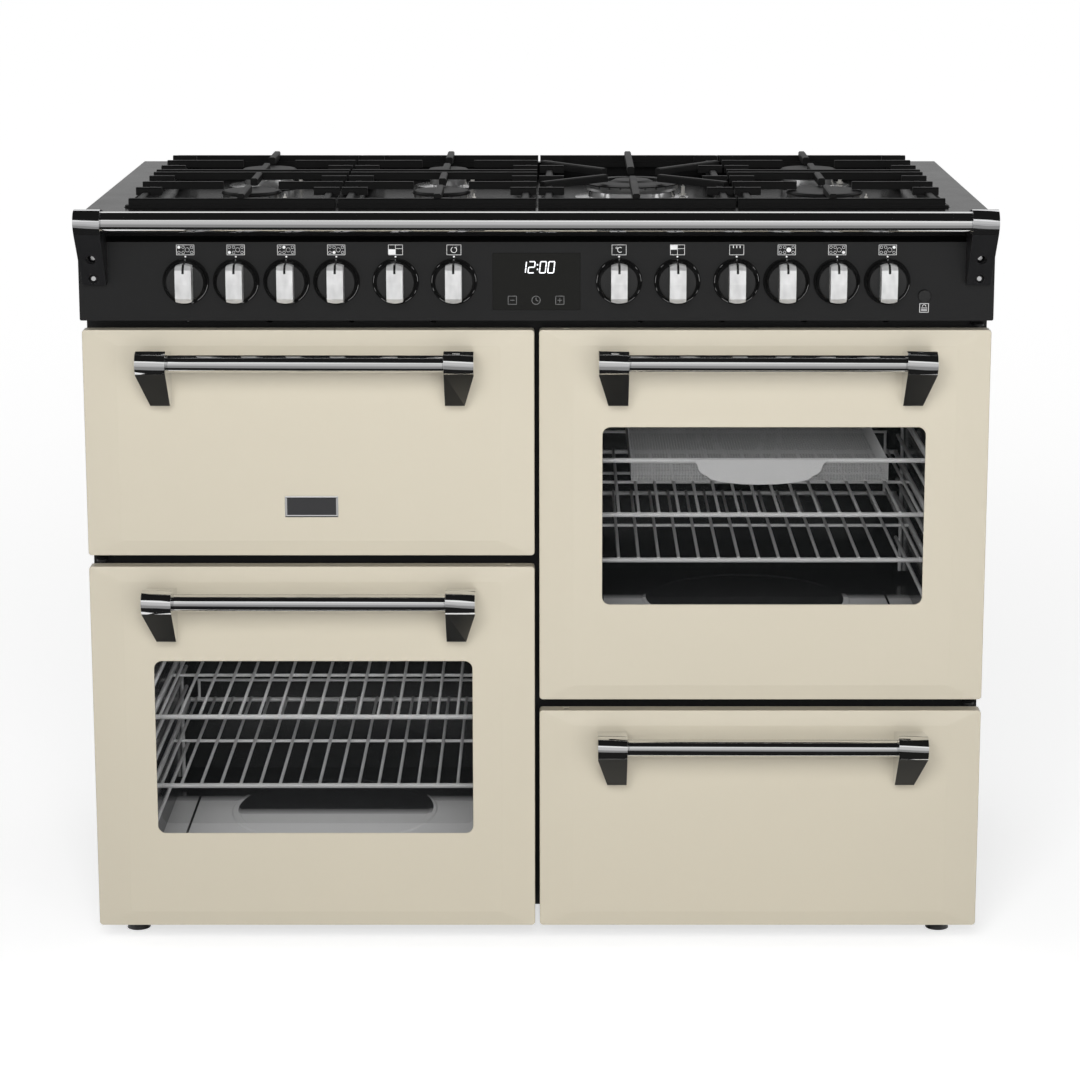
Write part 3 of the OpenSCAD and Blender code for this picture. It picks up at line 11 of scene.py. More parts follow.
import bpy
import bmesh
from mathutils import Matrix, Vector


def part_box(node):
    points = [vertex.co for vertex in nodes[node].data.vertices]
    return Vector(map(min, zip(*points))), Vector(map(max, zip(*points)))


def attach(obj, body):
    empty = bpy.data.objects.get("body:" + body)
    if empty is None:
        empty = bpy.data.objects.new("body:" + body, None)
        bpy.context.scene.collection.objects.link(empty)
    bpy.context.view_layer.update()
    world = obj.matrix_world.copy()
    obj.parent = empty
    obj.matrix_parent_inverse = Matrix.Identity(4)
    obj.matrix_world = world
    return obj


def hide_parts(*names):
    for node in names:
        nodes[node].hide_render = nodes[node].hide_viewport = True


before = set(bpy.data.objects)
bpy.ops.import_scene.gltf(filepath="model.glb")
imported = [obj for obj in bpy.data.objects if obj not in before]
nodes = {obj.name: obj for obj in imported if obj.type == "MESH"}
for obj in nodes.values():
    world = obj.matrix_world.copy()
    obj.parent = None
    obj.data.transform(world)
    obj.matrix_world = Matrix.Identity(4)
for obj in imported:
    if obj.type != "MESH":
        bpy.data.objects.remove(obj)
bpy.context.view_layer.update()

# %% [markdown]
# ## Millimetres to metres
# The row's origin lies under the middle of the whole cooker, with the rail in front and the gas inlet
# behind. Depths in this file count from the doors' front plane, so one function shifts and scales.

# %% Places in millimetres
MM = 0.001
DOORS_PLANE = -267.5
FASCIA_FACE = -8.0
SQUARE = ((-1, -1), (1, -1), (1, 1), (-1, 1))


def at(x, depth, height):
    """The point x mm right of the middle, depth mm behind the doors' plane, height mm up."""
    return Vector((x * MM, (depth + DOORS_PLANE) * MM, height * MM))


def add_object(name, data):
    """A new object in the scene that shows that data."""
    made = bpy.data.objects.new(name, data)
    bpy.context.scene.collection.objects.link(made)
    return made


print("doors' plane at y =", round(at(0, 0, 0).y, 4))

# %% [markdown]
# ## Shader maths that reads like arithmetic
# A material's varying numbers run through Math nodes. Wrapping a socket in a small class lets the
# script write `1 - mask * 0.3` and have the nodes appear. Every other node comes from one method,
# which takes its type, its settings and what its sockets are fed with.


# %% The value class and the paint class
class Value:
    """A number that varies over a surface. Arithmetic on it adds Math nodes."""

    def __init__(self, paint, socket):
        self.paint, self.socket = paint, socket

    def join(self, operation, a, b=0.0):
        return self.paint.node("ShaderNodeMath", {"operation": operation}, {0: a, 1: b})

    def __add__(self, other):
        return self.join("ADD", self, other)

    def __sub__(self, other):
        return self.join("SUBTRACT", self, other)

    def __mul__(self, other):
        return self.join("MULTIPLY", self, other)

    def __gt__(self, other):
        return self.join("GREATER_THAN", self, other)

    def __lt__(self, other):
        return self.join("LESS_THAN", self, other)

    def __abs__(self):
        return self.join("ABSOLUTE", self)

    def __rsub__(self, other):
        return self.join("SUBTRACT", other, self)


class Paint:
    """One material: a Principled shader and the nodes that feed it."""

    def __init__(self, name, **constants):
        self.material = bpy.data.materials.new(name)
        self.material.use_nodes = True
        self.tree = self.material.node_tree
        self.surface = self.tree.nodes["Principled BSDF"]
        for socket, value in constants.items():
            self.set(socket.replace("_", " "), value)

    def node(self, kind, settings=None, sockets=None, out=0):
        made = self.tree.nodes.new(kind)
        for key, value in (settings or {}).items():
            setattr(made, key, value)
        for key, value in (sockets or {}).items():
            self.feed(made.inputs[key], value)
        return Value(self, made.outputs[out])

    def feed(self, socket, value):
        if isinstance(value, Value):
            self.tree.links.new(value.socket, socket)
        else:
            socket.default_value = value

    def set(self, name, value):
        """Feeds one socket of the Principled shader; a colour may be given without its alpha."""
        if isinstance(value, tuple) and len(value) == 3:
            value = (*value, 1.0)
        self.feed(self.surface.inputs[name], value)

    def place(self, stretch=(1, 1, 1)):
        """The point of the surface in the cooker's own metres, stretched along each axis."""
        found = self.node("ShaderNodeTexCoord", out=3)
        if stretch == (1, 1, 1):
            return found
        return self.node("ShaderNodeVectorMath", {"operation": "MULTIPLY"}, {0: found, 1: stretch})

    def split(self, vector):
        """The three parts of a vector, each as a value."""
        parts = self.tree.nodes.new("ShaderNodeSeparateXYZ")
        self.feed(parts.inputs[0], vector)
        return [Value(self, parts.outputs[i]) for i in range(3)]

    def axes(self):
        """The same point as three values in millimetres; depth counts from the doors' plane."""
        x, y, z = self.split(self.place())
        return x * 1000, y * 1000 - DOORS_PLANE, z * 1000

    def facing(self):
        """Which way the surface looks: how far right, back and up, each from -1 to 1."""
        return self.split(self.node("ShaderNodeTexCoord", out=1))

    def noise(self, size, detail=2.0, stretch=(1, 1, 1)):
        """Soft noise whose lumps are about size millimetres wide, from 0 to 1."""
        return self.node("ShaderNodeTexNoise", None,
                         {"Vector": self.place(stretch), "Scale": 1 / (size * MM), "Detail": detail})

    def blend(self, factor, first, second):
        """A colour that goes from first to second as factor goes from 0 to 1."""
        colours = [c if isinstance(c, Value) else (*c, 1.0) for c in (first, second)]
        return self.node("ShaderNodeMix", {"data_type": "RGBA"},
                         {0: factor, 6: colours[0], 7: colours[1]}, out=2)

    def bump(self, height, depth_mm, strength=1.0):
        """Relief of that depth on the surface."""
        relief = {"Height": height, "Distance": depth_mm * MM, "Strength": strength}
        self.set("Normal", self.node("ShaderNodeBump", None, relief))


print("shader helpers ready")

# %% [markdown]
# ## Enamels and paints
# Vitreous enamel is glass fused to steel: an even colour under a clear skin with a very slight
# orange-peel wave. The cream of the doors is satin, the black of the oven is glossy with pale flecks,
# and the fascia is a fine-grained black whose brushing runs from side to side. The oven enamel also
# carries painted light by position: the floors are painted pale towards the door as a pool of light,
# with a ring further in left dark as painted shade.

# %% Cream door enamel
CREAM = (0.651, 0.597, 0.479)


def cream_enamel():
    paint = Paint("cream_enamel", Roughness=0.42, Coat_Roughness=0.22, Coat_Weight=0.25)
    cloud = paint.noise(260)
    darker, lighter = (tuple(c * shade for c in CREAM) for shade in (0.985, 1.015))
    paint.set("Base Color", paint.blend(cloud, darker, lighter))
    paint.set("Roughness", cloud * 0.06 + 0.4)
    paint.bump(paint.noise(3.0), 0.012)
    return paint.material


# %% Black paints of the body and the doors' backs
def satin_black(name, level, roughness, brushed=False, gloss=0.3, peel_mm=0.015):
    paint = Paint(name, Base_Color=(level, level, level * 1.02), Specular_IOR_Level=gloss)
    if brushed:
        streaks = paint.noise(1.2, 3.0, (0.02, 1, 1))
        paint.set("Roughness", streaks * 0.12 + (roughness - 0.06))
        paint.bump(streaks, 0.01)
    else:
        paint.set("Roughness", paint.noise(40) * 0.08 + (roughness - 0.04))
        paint.bump(paint.noise(1.6), peel_mm)
    return paint.material


# %% Oven enamel: black walls, and painted light on the floor towards the door
# Painted light on the oven floors: where its pool ends, the ring of painted shade, and how it fades.
OVEN_X, RING_DEPTH, RING_RADIUS = 275.0, 318.0, 132.0
LIGHT_POOL_DEPTH, RING_SHADE_BITE = 375.0, 56.0
RIGHT_POOL_SHORTER, RIGHT_RING_SHADE_BITE = 35.0, 300.0
FADE_PER_MM = 0.035
TRAY_HALF, GAP_HALF = 190.0, 1.6


def oven_enamel():
    paint = Paint("oven_enamel", Specular_IOR_Level=0.6)
    flecks = paint.noise(1.4, 1.0) > 0.66
    x, depth, _ = paint.axes()
    upward = paint.facing()[2] > 0.8
    across, back = abs(x) - OVEN_X, depth - RING_DEPTH
    shaded_ring = across * across + back * back < RING_RADIUS ** 2
    right_side = x > 0
    # The floor's pale front is painted light: a pool of light that fades at its edge, pulled forward by
    # painted shade in the ring, more so on the right, and left out along thin lines at the tray edges.
    light_edge = LIGHT_POOL_DEPTH - shaded_ring * RING_SHADE_BITE - right_side * (shaded_ring * RIGHT_RING_SHADE_BITE + RIGHT_POOL_SHORTER)
    light_ramp = paint.node("ShaderNodeMath", {"operation": "MULTIPLY", "use_clamp": True},
                      {0: light_edge - depth, 1: FADE_PER_MM})
    gap = abs(abs(across) - TRAY_HALF) < GAP_HALF
    painted_light = upward * light_ramp * (1 - gap)
    black = paint.blend(flecks, (0.024, 0.024, 0.025), (0.07, 0.07, 0.072))
    paint.set("Base Color", paint.blend(painted_light, black, (0.6, 0.6, 0.6)))
    paint.set("Roughness", painted_light * 0.14 + 0.16)
    return paint.material


print("enamels defined")

# %% [markdown]
# ## Metals
# Chrome is nearly a mirror, so it only needs the studio around it. The grips of the knobs are brushed
# along their length, and their discs are black: one position mask tells the two apart, because the
# grip is the part that stands out beyond the disc's face. A second mask leaves a dark slot in the
# grip's upper end. Masks also paint the slanting face of each handle's legs and the rail brackets
# below their nose black: a painted dark reflection on chrome.

# %% Chrome, plated wire and bare metals
def metal(name, level, roughness, grain=None, tint=(1, 1, 1)):
    """Metal of that brightness; grain stretches the noise that varies its roughness."""
    colour = tuple(level * c for c in tint)
    paint = Paint(name, Metallic=1.0, Base_Color=colour)
    if grain:
        streaks = paint.noise(1.5, 3.0, grain)
        paint.set("Roughness", streaks * 0.16 + (roughness - 0.08))
        paint.bump(streaks, 0.006)
    else:
        paint.set("Roughness", paint.noise(60) * 0.03 + (roughness - 0.015))
    return paint.material


# %% Galvanised sheet with its crystal flakes
def galvanised():
    paint = Paint("galvanised_steel", Metallic=0.85)
    flake = paint.node("ShaderNodeTexVoronoi", None, {"Vector": paint.place(), "Scale": 70.0}, out=1)
    level = paint.node("ShaderNodeSeparateColor", None, {0: flake})
    paint.set("Base Color", paint.blend(level, (0.42, 0.43, 0.44), (0.6, 0.61, 0.62)))
    paint.set("Roughness", level * 0.18 + 0.34)
    return paint.material


# %% Knob: black disc, brushed grip
KNOB_X = [-421, -360.5, -300, -240, -169, -99, 99, 169, 240, 300, 360.5, 421]
KNOB_Z = 847.0
GRIP_HALF = 9.75
DISC_FACE = 12.5
SLOT_HALF, SLOT_FROM = 1.4, 13.0


def knob_metal(index):
    paint = Paint("knob_%d_finish" % index)
    x, depth, height = paint.axes()
    sideways, upward = x - KNOB_X[index - 1], height - KNOB_Z
    slot = (abs(sideways) < SLOT_HALF) * (upward > SLOT_FROM)
    grip = (abs(sideways) < GRIP_HALF) * (depth < FASCIA_FACE - DISC_FACE) * (1 - slot)
    streaks = paint.noise(1.1, 3.0, (1, 1, 0.03))
    cloud = paint.noise(9, 1.0, (1, 1, 0.5))
    silver = paint.blend(cloud, (0.62, 0.62, 0.62), (1.0, 1.0, 1.0))
    paint.set("Base Color", paint.blend(grip, (0.01, 0.01, 0.01), silver))
    paint.set("Metallic", grip * 0.5)
    paint.set("Roughness", grip * (streaks * 0.2 + 0.12) + 0.2)
    paint.bump(streaks * grip, 0.01)
    return paint.material


# %% Handle: chrome with a painted dark reflection on each leg's face
LEG_TOP = 12.0


def handle_chrome_painted_reflection(name, axis_z):
    paint = Paint(name)
    height = paint.axes()[2]
    _, back, up = paint.facing()
    # The legs' down-and-forward face is painted black: a painted dark reflection on what is chrome.
    face = (up < -0.5) * (back < -0.5) * (height < axis_z - LEG_TOP)
    paint.set("Base Color", paint.blend(face, (0.78, 0.78, 0.78), (0.01, 0.01, 0.01)))
    paint.set("Metallic", 1 - face)
    paint.set("Roughness", face * 0.3 + 0.06)
    return paint.material


# %% Rail bracket: chrome nose, and a leg painted black as a dark reflection
NOSE_Z = 909.5


def bracket_metal():
    paint = Paint("bracket_metal")
    height = paint.axes()[2]
    # Below the nose the bracket is painted black: a painted dark reflection on what is chrome.
    nose = height > NOSE_Z
    paint.set("Base Color", paint.blend(nose, (0.014, 0.014, 0.015), (0.76, 0.76, 0.77)))
    paint.set("Metallic", nose * 1.0)
    paint.set("Roughness", 0.3 - nose * 0.22)
    return paint.material


print("metals defined")

# %% [markdown]
# ## Cast iron, glass and the small materials
# Cast pan supports are enamelled matt black over a sandy casting, so a fine bump carries them. The
# window panes are nearly clear: their Alpha lets the lamps reach the shelves, as real glass does.


# %% Cast iron
def cast_iron():
    paint = Paint("cast_iron", Base_Color=(0.008, 0.008, 0.008), Specular_IOR_Level=0.22)
    sand = paint.noise(0.9, 3.0)
    paint.set("Roughness", paint.noise(30) * 0.12 + 0.42)
    paint.bump(sand, 0.06, 0.7)
    return paint.material


# %% Clear and dark glass
def clear_glass():
    return Paint("window_glass", Base_Color=(0.01, 0.012, 0.012), Roughness=0.03, Alpha=0.06,
                 Specular_IOR_Level=0.15).material


def dark_glass():
    return Paint("timer_glass", Base_Color=(0.009, 0.009, 0.008), Roughness=0.15,
                 Specular_IOR_Level=0.2).material


# %% Ceramic, fibre and print
def plain(name, colour, roughness, grain_mm=4.0, relief_mm=0.01, **more):
    """A simple finish whose roughness and relief vary a little."""
    paint = Paint(name, Base_Color=colour, **more)
    grain = paint.noise(grain_mm)
    paint.set("Roughness", grain * 0.1 + (roughness - 0.05))
    paint.bump(grain, relief_mm)
    return paint.material


def glowing(name, colour, strength):
    """A colour that gives off that much light of its own: real light for the display, a painted glow
    for the white print.
    """
    return Paint(name, Base_Color=colour, Emission_Color=colour, Emission_Strength=strength,
                 Roughness=0.5).material


print("small materials defined")

# %% [markdown]
# ## Dressing the CAD nodes
# Each node takes one finish. Real edges are never razor sharp, so nodes whose edges catch light get a
# small bevel; the mesh under the modifier stays as CAD made it.

# %% Finishes by node
door_names = ("grill_door", "left_oven_door", "right_oven_door", "storage_door")
HANDLE_Z = dict(zip(door_names, (754.5, 459.6, 754.5, 276.2)))
cream = cream_enamel()
body_black = satin_black("charcoal_steel", 0.015, 0.45)
fascia_black = satin_black("fascia_steel", 0.011, 0.42, brushed=True)
door_black = satin_black("black_enamel", 0.01, 0.22)
hob_black = satin_black("hob_enamel", 0.009, 0.2, gloss=0.12, peel_mm=0.002)
enamel = oven_enamel()
wire = plain("plated_wire", (0.9, 0.9, 0.9), 0.3, 3.0, 0.005, Metallic=0.3)
chrome = metal("polished_chrome", 0.78, 0.06)
burner_dish = plain("burner_steel", (0.85, 0.85, 0.85), 0.16, Metallic=0.7)
burner_cast = metal("burner_aluminium", 0.55, 0.38)
iron = cast_iron()
plastic = plain("bezel_plastic", (0.01, 0.01, 0.01), 0.24)
ceramic = plain("electrode_ceramic", (0.82, 0.8, 0.75), 0.35)

finishes = {
    "side_panels": body_black, "base_frame": body_black, "front_frame": body_black,
    "fascia": fascia_black, "back_panel": galvanised(), "left_oven_liner": enamel,
    "right_oven_liner": enamel, "grill_liner": enamel, "fan_cover": enamel, "grill_pan": enamel,
    "storage_liner": body_black, "shelf_guides": wire, "oven_shelves": wire, "fry_basket": wire,
    "grill_element": metal("element_steel", 0.14, 0.45), "timer_glass": dark_glass(),
    "knob_bezels": plastic, "button": plastic, "feet": plastic, "front_rail": chrome,
    "rail_bolts": metal("bolt_chrome", 0.85, 0.28), "rail_brackets": bracket_metal(),
    "hob_panel": hob_black, "burner_bases": burner_dish, "burner_heads": burner_cast,
    "burner_caps": satin_black("cap_enamel", 0.011, 0.5), "electrodes": ceramic,
    "gas_rail": metal("tap_brass", 0.9, 0.3, tint=(0.62, 0.45, 0.2)),
    "door_seals": plain("seal_fibre", (0.03, 0.03, 0.03), 0.85, 1.5, 0.3),
    "fan_rotor": metal("fan_steel", 0.55, 0.3, (1, 1, 0.1)),
}
for door in door_names:
    finishes[door + "_panel"] = cream
    finishes[door + "_inner"] = door_black
    finishes[door + "_handle"] = handle_chrome_painted_reflection(door + "_handle_chrome_dark_reflection", HANDLE_Z[door])
glass = clear_glass()
finishes["left_oven_door_glass"] = finishes["right_oven_door_glass"] = glass
for i in range(1, 5):
    finishes["pan_support_%d" % i] = iron
for i in range(1, 13):
    finishes["knob_%d" % i] = knob_metal(i)

for name, material in finishes.items():
    slots = nodes[name].data.materials
    slots.clear()
    slots.append(material)
print("dressed", len(finishes), "of", len(nodes), "nodes")

# %% Softened edges
bevels = {"fascia": 0.8, "hob_panel": 1.6, "front_rail": 0.3, "rail_brackets": 0.5, "button": 0.4}
bevels.update({door + "_panel": 1.2 for door in door_names})
bevels.update({door + "_handle": 0.5 for door in door_names})
bevels.update({"pan_support_%d" % i: 0.7 for i in range(1, 5)})
bevels.update({"knob_%d" % i: 0.7 for i in range(1, 13)})


def soften(node, width_mm, angle=35):
    """Bevels the node's sharp edges without touching its mesh."""
    weld = node.modifiers.new("weld", "WELD")
    weld.merge_threshold = 1e-6
    bevel = node.modifiers.new("bevel", "BEVEL")
    bevel.width = width_mm * MM
    bevel.segments = 2
    bevel.limit_method = "ANGLE"
    bevel.angle_limit = math.radians(angle)
    bevel.harden_normals = True


for name, width in bevels.items():
    soften(nodes[name], width)
print("bevelled", len(bevels), "nodes")

# %% [markdown]
# ## Wider light wells in the window doors
# Seen from the camera's height, the well behind each window would show its black walls as a border
# round the window. The photo shows no such border, so a copy of each door's inner panel gets a wider
# well and stands for the CAD panel. The corners that move lie within a few millimetres of the pane.

# %% Inner panels of the window doors
WINDOW_DOORS = ("left_oven_door", "right_oven_door")
WELL_MORE = 22.0
PANE_MARGIN = 4.0


def widen_well(door):
    """Gives a door the dressed copy of its inner panel and returns half the pane's size in mm."""
    low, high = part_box(door + "_glass")
    data = nodes[door + "_inner"].data.copy()
    made = add_object(door + "_inner_panel", data)
    middle = [(a + b) / 2 for a, b in zip(low, high)]
    half = [(b - a) / 2 + PANE_MARGIN * MM for a, b in zip(low, high)]
    for vertex in data.vertices:
        off = [vertex.co[i] - middle[i] for i in range(3)]
        if abs(off[0]) < half[0] and abs(off[2]) < half[2]:
            vertex.co.x += math.copysign(WELL_MORE * MM, off[0])
            vertex.co.z += math.copysign(WELL_MORE * MM, off[2])
    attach(made, door)
    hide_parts(door + "_inner")
    return [round(v / MM) for v in half]


for door in WINDOW_DOORS:
    print("wider well in", door, widen_well(door))

# %% [markdown]
# ## Flat shapes for the print
# The signs on the fascia are screen print, a few hundredths of a millimetre thick. Each is drawn with
# three strokes: a bar between two points, a ring or arc, and a filled disc. All strokes of one colour
# share one mesh.


# %% Strokes
class Print:
    """A thin layer of print on an upright face at one depth."""

    def __init__(self, name, depth, thickness=0.15):
        self.name, self.depth, self.thickness = name, depth, thickness
        self.mesh = bmesh.new()

    def patch(self, outline):
        """Fills a convex outline of (x, height) points and gives it thickness."""
        faces = [[self.mesh.verts.new(at(x, self.depth - t, z)) for x, z in outline]
                 for t in (self.thickness, 0.0)]
        front, back = faces
        self.mesh.faces.new(front)
        count = len(front)
        for i in range(count):
            j = (i + 1) % count
            self.mesh.faces.new((front[i], back[i], back[j], front[j]))

    def bar(self, x0, z0, x1, z1, width):
        along = Vector((x1 - x0, z1 - z0)).normalized() * width / 2
        side = Vector((along.y, -along.x))
        start, end = Vector((x0, z0)) - along, Vector((x1, z1)) + along
        self.patch([tuple(p) for p in (start + side, start - side, end - side, end + side)])

    def arc(self, x, z, radius, width, start=0, stop=360, steps=24):
        """Part of a ring; degrees count from the right, against the clock."""
        angles = [math.radians(start + (stop - start) * i / steps) for i in range(steps + 1)]
        for a, b in zip(angles, angles[1:]):
            inner, outer = radius - width / 2, radius + width / 2
            self.patch([(x + inner * math.cos(a), z + inner * math.sin(a)),
                        (x + outer * math.cos(a), z + outer * math.sin(a)),
                        (x + outer * math.cos(b), z + outer * math.sin(b)),
                        (x + inner * math.cos(b), z + inner * math.sin(b))])

    def disc(self, x, z, radius, steps=16):
        angles = [2 * math.pi * i / steps for i in range(steps)]
        self.patch([(x + radius * math.cos(a), z + radius * math.sin(a)) for a in angles])

    def box(self, x, z, w, h, width):
        corners = [(x + sx * w / 2, z + sz * h / 2) for sx, sz in SQUARE]
        for a, b in zip(corners, corners[1:] + corners[:1]):
            self.bar(*a, *b, width)

    def finish(self, material, body):
        bmesh.ops.recalc_face_normals(self.mesh, faces=self.mesh.faces)
        return piece(self.name, self.mesh, material, body)


def piece(name, mesh, material, body):
    """Turns a bmesh into a named piece that rides on a body."""
    data = bpy.data.meshes.new(name)
    mesh.to_mesh(data)
    mesh.free()
    data.materials.append(material)
    made = add_object(name, data)
    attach(made, body)
    return made


print("print tools ready")

# %% [markdown]
# ## Signs over the knobs
# Over each gas knob stands the hob's plan with its burner filled in, over the other knobs the oven or
# grill that they serve. A white dot on the fascia marks the upright position, and the ring round the
# knob carries a small grey dot and its scale.

# %% Fascia signs
ICON_Z, ICON_W, ICON_H = 885.0, 21.0, 12.0
FIELD_W = 17.0
DOT_Z = 876.8
LINE, FINE_LINE = 0.5, 0.35
BURNERS = [(-7.6, 3.1), (-7.6, -3.1), (-2.6, 3.1), (-2.6, -3.1), (2.4, 0), (7.6, -3.1), (7.6, 3.1)]
GAS_KNOBS = {0: 0, 1: 1, 2: 2, 3: 3, 9: 4, 10: 5, 11: 6}
# The white print's small glow is painted light, since print gives off none; the grey print has no glow.
white_print_painted_glow = glowing("white_print_painted_glow", (0.8, 0.8, 0.8), 0.1)
grey_print = glowing("grey_print", (0.22, 0.22, 0.22), 0.0)

signs = Print("fascia_signs", FASCIA_FACE)
for knob, x in enumerate(KNOB_X):
    signs.disc(x, DOT_Z, 1.15)
    if knob in GAS_KNOBS:
        signs.box(x, ICON_Z, ICON_W, ICON_H, LINE)
        for burner, (bx, bz) in enumerate(BURNERS):
            radius = 2.6 if burner == 4 else 1.6
            if burner == GAS_KNOBS[knob]:
                signs.disc(x + bx, ICON_Z + bz, radius + 0.3)
            else:
                signs.arc(x + bx, ICON_Z + bz, radius, FINE_LINE, steps=12)


def quarters(x, filled):
    """The front of the cooker in four fields with one filled."""
    signs.box(x, ICON_Z, FIELD_W, ICON_H, LINE)
    signs.bar(x, ICON_Z - ICON_H / 2, x, ICON_Z + ICON_H / 2, LINE)
    signs.bar(x, ICON_Z + 1.5, x + FIELD_W / 2, ICON_Z + 1.5, LINE)
    top, bottom = (ICON_Z + 5.6, ICON_Z + 0.6) if filled == "top" else (ICON_Z + 0.4, ICON_Z - 5.6)
    signs.patch([(x - 8.2, bottom), (x, bottom), (x, top), (x - 8.2, top)])
    signs.bar(x - FIELD_W / 2, ICON_Z + 0.5, x, ICON_Z + 0.5, LINE)


quarters(KNOB_X[4], "bottom")
quarters(KNOB_X[7], "top")
for knob in (5, 6, 8):
    signs.box(KNOB_X[knob], ICON_Z, FIELD_W, ICON_H, LINE)
signs.arc(KNOB_X[5], ICON_Z, 3.4, 0.7, 110, 420)
signs.bar(KNOB_X[5] + 3.4, ICON_Z + 3.4, KNOB_X[5] + 0.9, ICON_Z + 2.6, 0.6)
signs.arc(KNOB_X[6] - 3.0, ICON_Z + 2.4, 0.9, 0.5)
signs.arc(KNOB_X[6] + 1.2, ICON_Z, 3.0, 0.8, 50, 310)
for k in (-4, 0, 4):
    signs.bar(KNOB_X[8] + k, ICON_Z + 4.6, KNOB_X[8] + k, ICON_Z + 2.6, 1.0)
signs.finish(white_print_painted_glow, "root")
print("signs for", len(KNOB_X), "knobs")

# %% Marks on the rings round the knobs
RING_FACE = FASCIA_FACE - 4.2
MARK_RADIUS = 26.5
marks = Print("ring_marks", RING_FACE, 0.12)
for knob, x in enumerate(KNOB_X):
    marks.disc(x, KNOB_Z + 26.4, 0.7, 10)
    if knob in GAS_KNOBS:
        marks.arc(x, KNOB_Z, MARK_RADIUS, LINE, -58, -8, 14)
        marks.arc(x, KNOB_Z, MARK_RADIUS, 0.9, -76, -70, 3)
    else:
        for k in range(9):
            start = 130 + k * 33
            marks.arc(x, KNOB_Z, MARK_RADIUS, LINE, start, start + (20 if k % 2 else 9), 5)
marks.finish(grey_print, "root")
print("ring marks done")

# %% [markdown]
# ## Timer display
# The timer shows four figures of seven bars each, leaning slightly, and three touch signs below: less,
# clock and more. The light button has its own sign, an oven with a lamp.

# %% Display figures and touch signs
SEGMENTS = {"0": "abcdef", "1": "bc", "2": "abged"}
FIGURE_W, FIGURE_H, LEAN = 7.0, 13.6, 0.12
FIGURE_BAR, FIGURE_GAP = 1.25, 0.9
FIGURES_Z, TOUCH_Z = 857.2, 824.0
LESS_X, CLOCK_X, MORE_X = -29.1, -0.6, 28.0
TOUCH_LINE = 0.6


def figure(layer, digit, x, z):
    """One seven-bar figure with its lower left corner at x, z."""
    w, h = FIGURE_W, FIGURE_H
    ends = {"a": (0, h, w, h), "g": (0, h / 2, w, h / 2), "d": (0, 0, w, 0), "f": (0, h / 2, 0, h),
            "e": (0, 0, 0, h / 2), "b": (w, h / 2, w, h), "c": (w, 0, w, h / 2)}
    for key in SEGMENTS[digit]:
        x0, z0, x1, z1 = ends[key]
        if z0 == z1:
            x0, x1 = x0 + FIGURE_GAP, x1 - FIGURE_GAP
        else:
            z0, z1 = z0 + FIGURE_GAP, z1 - FIGURE_GAP
        layer.bar(x + x0 + LEAN * z0, z + z0, x + x1 + LEAN * z1, z + z1, FIGURE_BAR)


GLASS_FACE = FASCIA_FACE - 0.3
digits = Print("timer_figures", GLASS_FACE, 0.1)
for digit, x in zip("1200", (-20.5, -10.2, 3.4, 13.4)):
    figure(digits, digit, x, FIGURES_Z)
for z in (861.5, 867):
    digits.patch([(0.4, z - 0.8), (2.0, z - 0.8), (2.0, z + 0.8), (0.4, z + 0.8)])
digits.finish(glowing("display_light", (0.9, 0.92, 0.95), 0.9), "root")

touch = Print("timer_touch_signs", GLASS_FACE, 0.1)
for x in (LESS_X, MORE_X):
    touch.box(x, TOUCH_Z, 10, 10, 0.55)
    touch.bar(x - 2.3, TOUCH_Z, x + 2.3, TOUCH_Z, TOUCH_LINE)
touch.bar(MORE_X, TOUCH_Z - 2.3, MORE_X, TOUCH_Z + 2.3, TOUCH_LINE)
touch.arc(CLOCK_X, TOUCH_Z, 5, TOUCH_LINE)
touch.bar(CLOCK_X, TOUCH_Z, CLOCK_X, TOUCH_Z + 3, TOUCH_LINE)
touch.bar(CLOCK_X, TOUCH_Z, CLOCK_X + 2.4, TOUCH_Z - 1, TOUCH_LINE)
touch.finish(grey_print, "root")

LIGHT_X, LIGHT_Z = 466.2, 814.6
light_sign = Print("light_sign", FASCIA_FACE)
light_sign.box(LIGHT_X, LIGHT_Z, 10.5, 10.5, TOUCH_LINE)
light_sign.arc(LIGHT_X, LIGHT_Z + 1.6, 2.2, TOUCH_LINE, 0, 180, 10)
for z in (LIGHT_Z, LIGHT_Z - 1.7, LIGHT_Z - 3.2):
    light_sign.bar(LIGHT_X - 3.4, z, LIGHT_X + 3.4, z, 0.55)
light_sign.finish(white_print_painted_glow, "root")
print("display and touch signs done")

# %% [markdown]
# ## Fry basket
# The real basket is a tray of fine woven steel mesh hung in a wire frame. Modelling each wire gives
# the sparkle and see-through that a perforated sheet can't. Every wire is one open spline with few
# sides, so the whole mesh stays light. The mesh stands for the CAD tray, which stays as it is.

# %% Basket wires
BASKET_X, BASKET_HALF, BASKET_FRONT, BASKET_REAR = 276.45, 160.0, 70.0, 415.0
BASKET_TOP, BASKET_DEEP = 610.6, 25.6
MESH_PITCH, MESH_RADIUS = 3.6, 0.42


def wires(name, paths, radius_mm, material, body, sides=0):
    """Open wires along lists of points, as one curve object."""
    curve = bpy.data.curves.new(name, "CURVE")
    curve.dimensions = "3D"
    curve.bevel_depth = radius_mm * MM
    curve.bevel_resolution = sides
    curve.use_fill_caps = True
    for path in paths:
        spline = curve.splines.new("POLY")
        spline.points.add(len(path) - 1)
        for point, place in zip(spline.points, path):
            point.co = (*at(*place), 1)
    curve.materials.append(material)
    made = add_object(name, curve)
    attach(made, body)
    return made


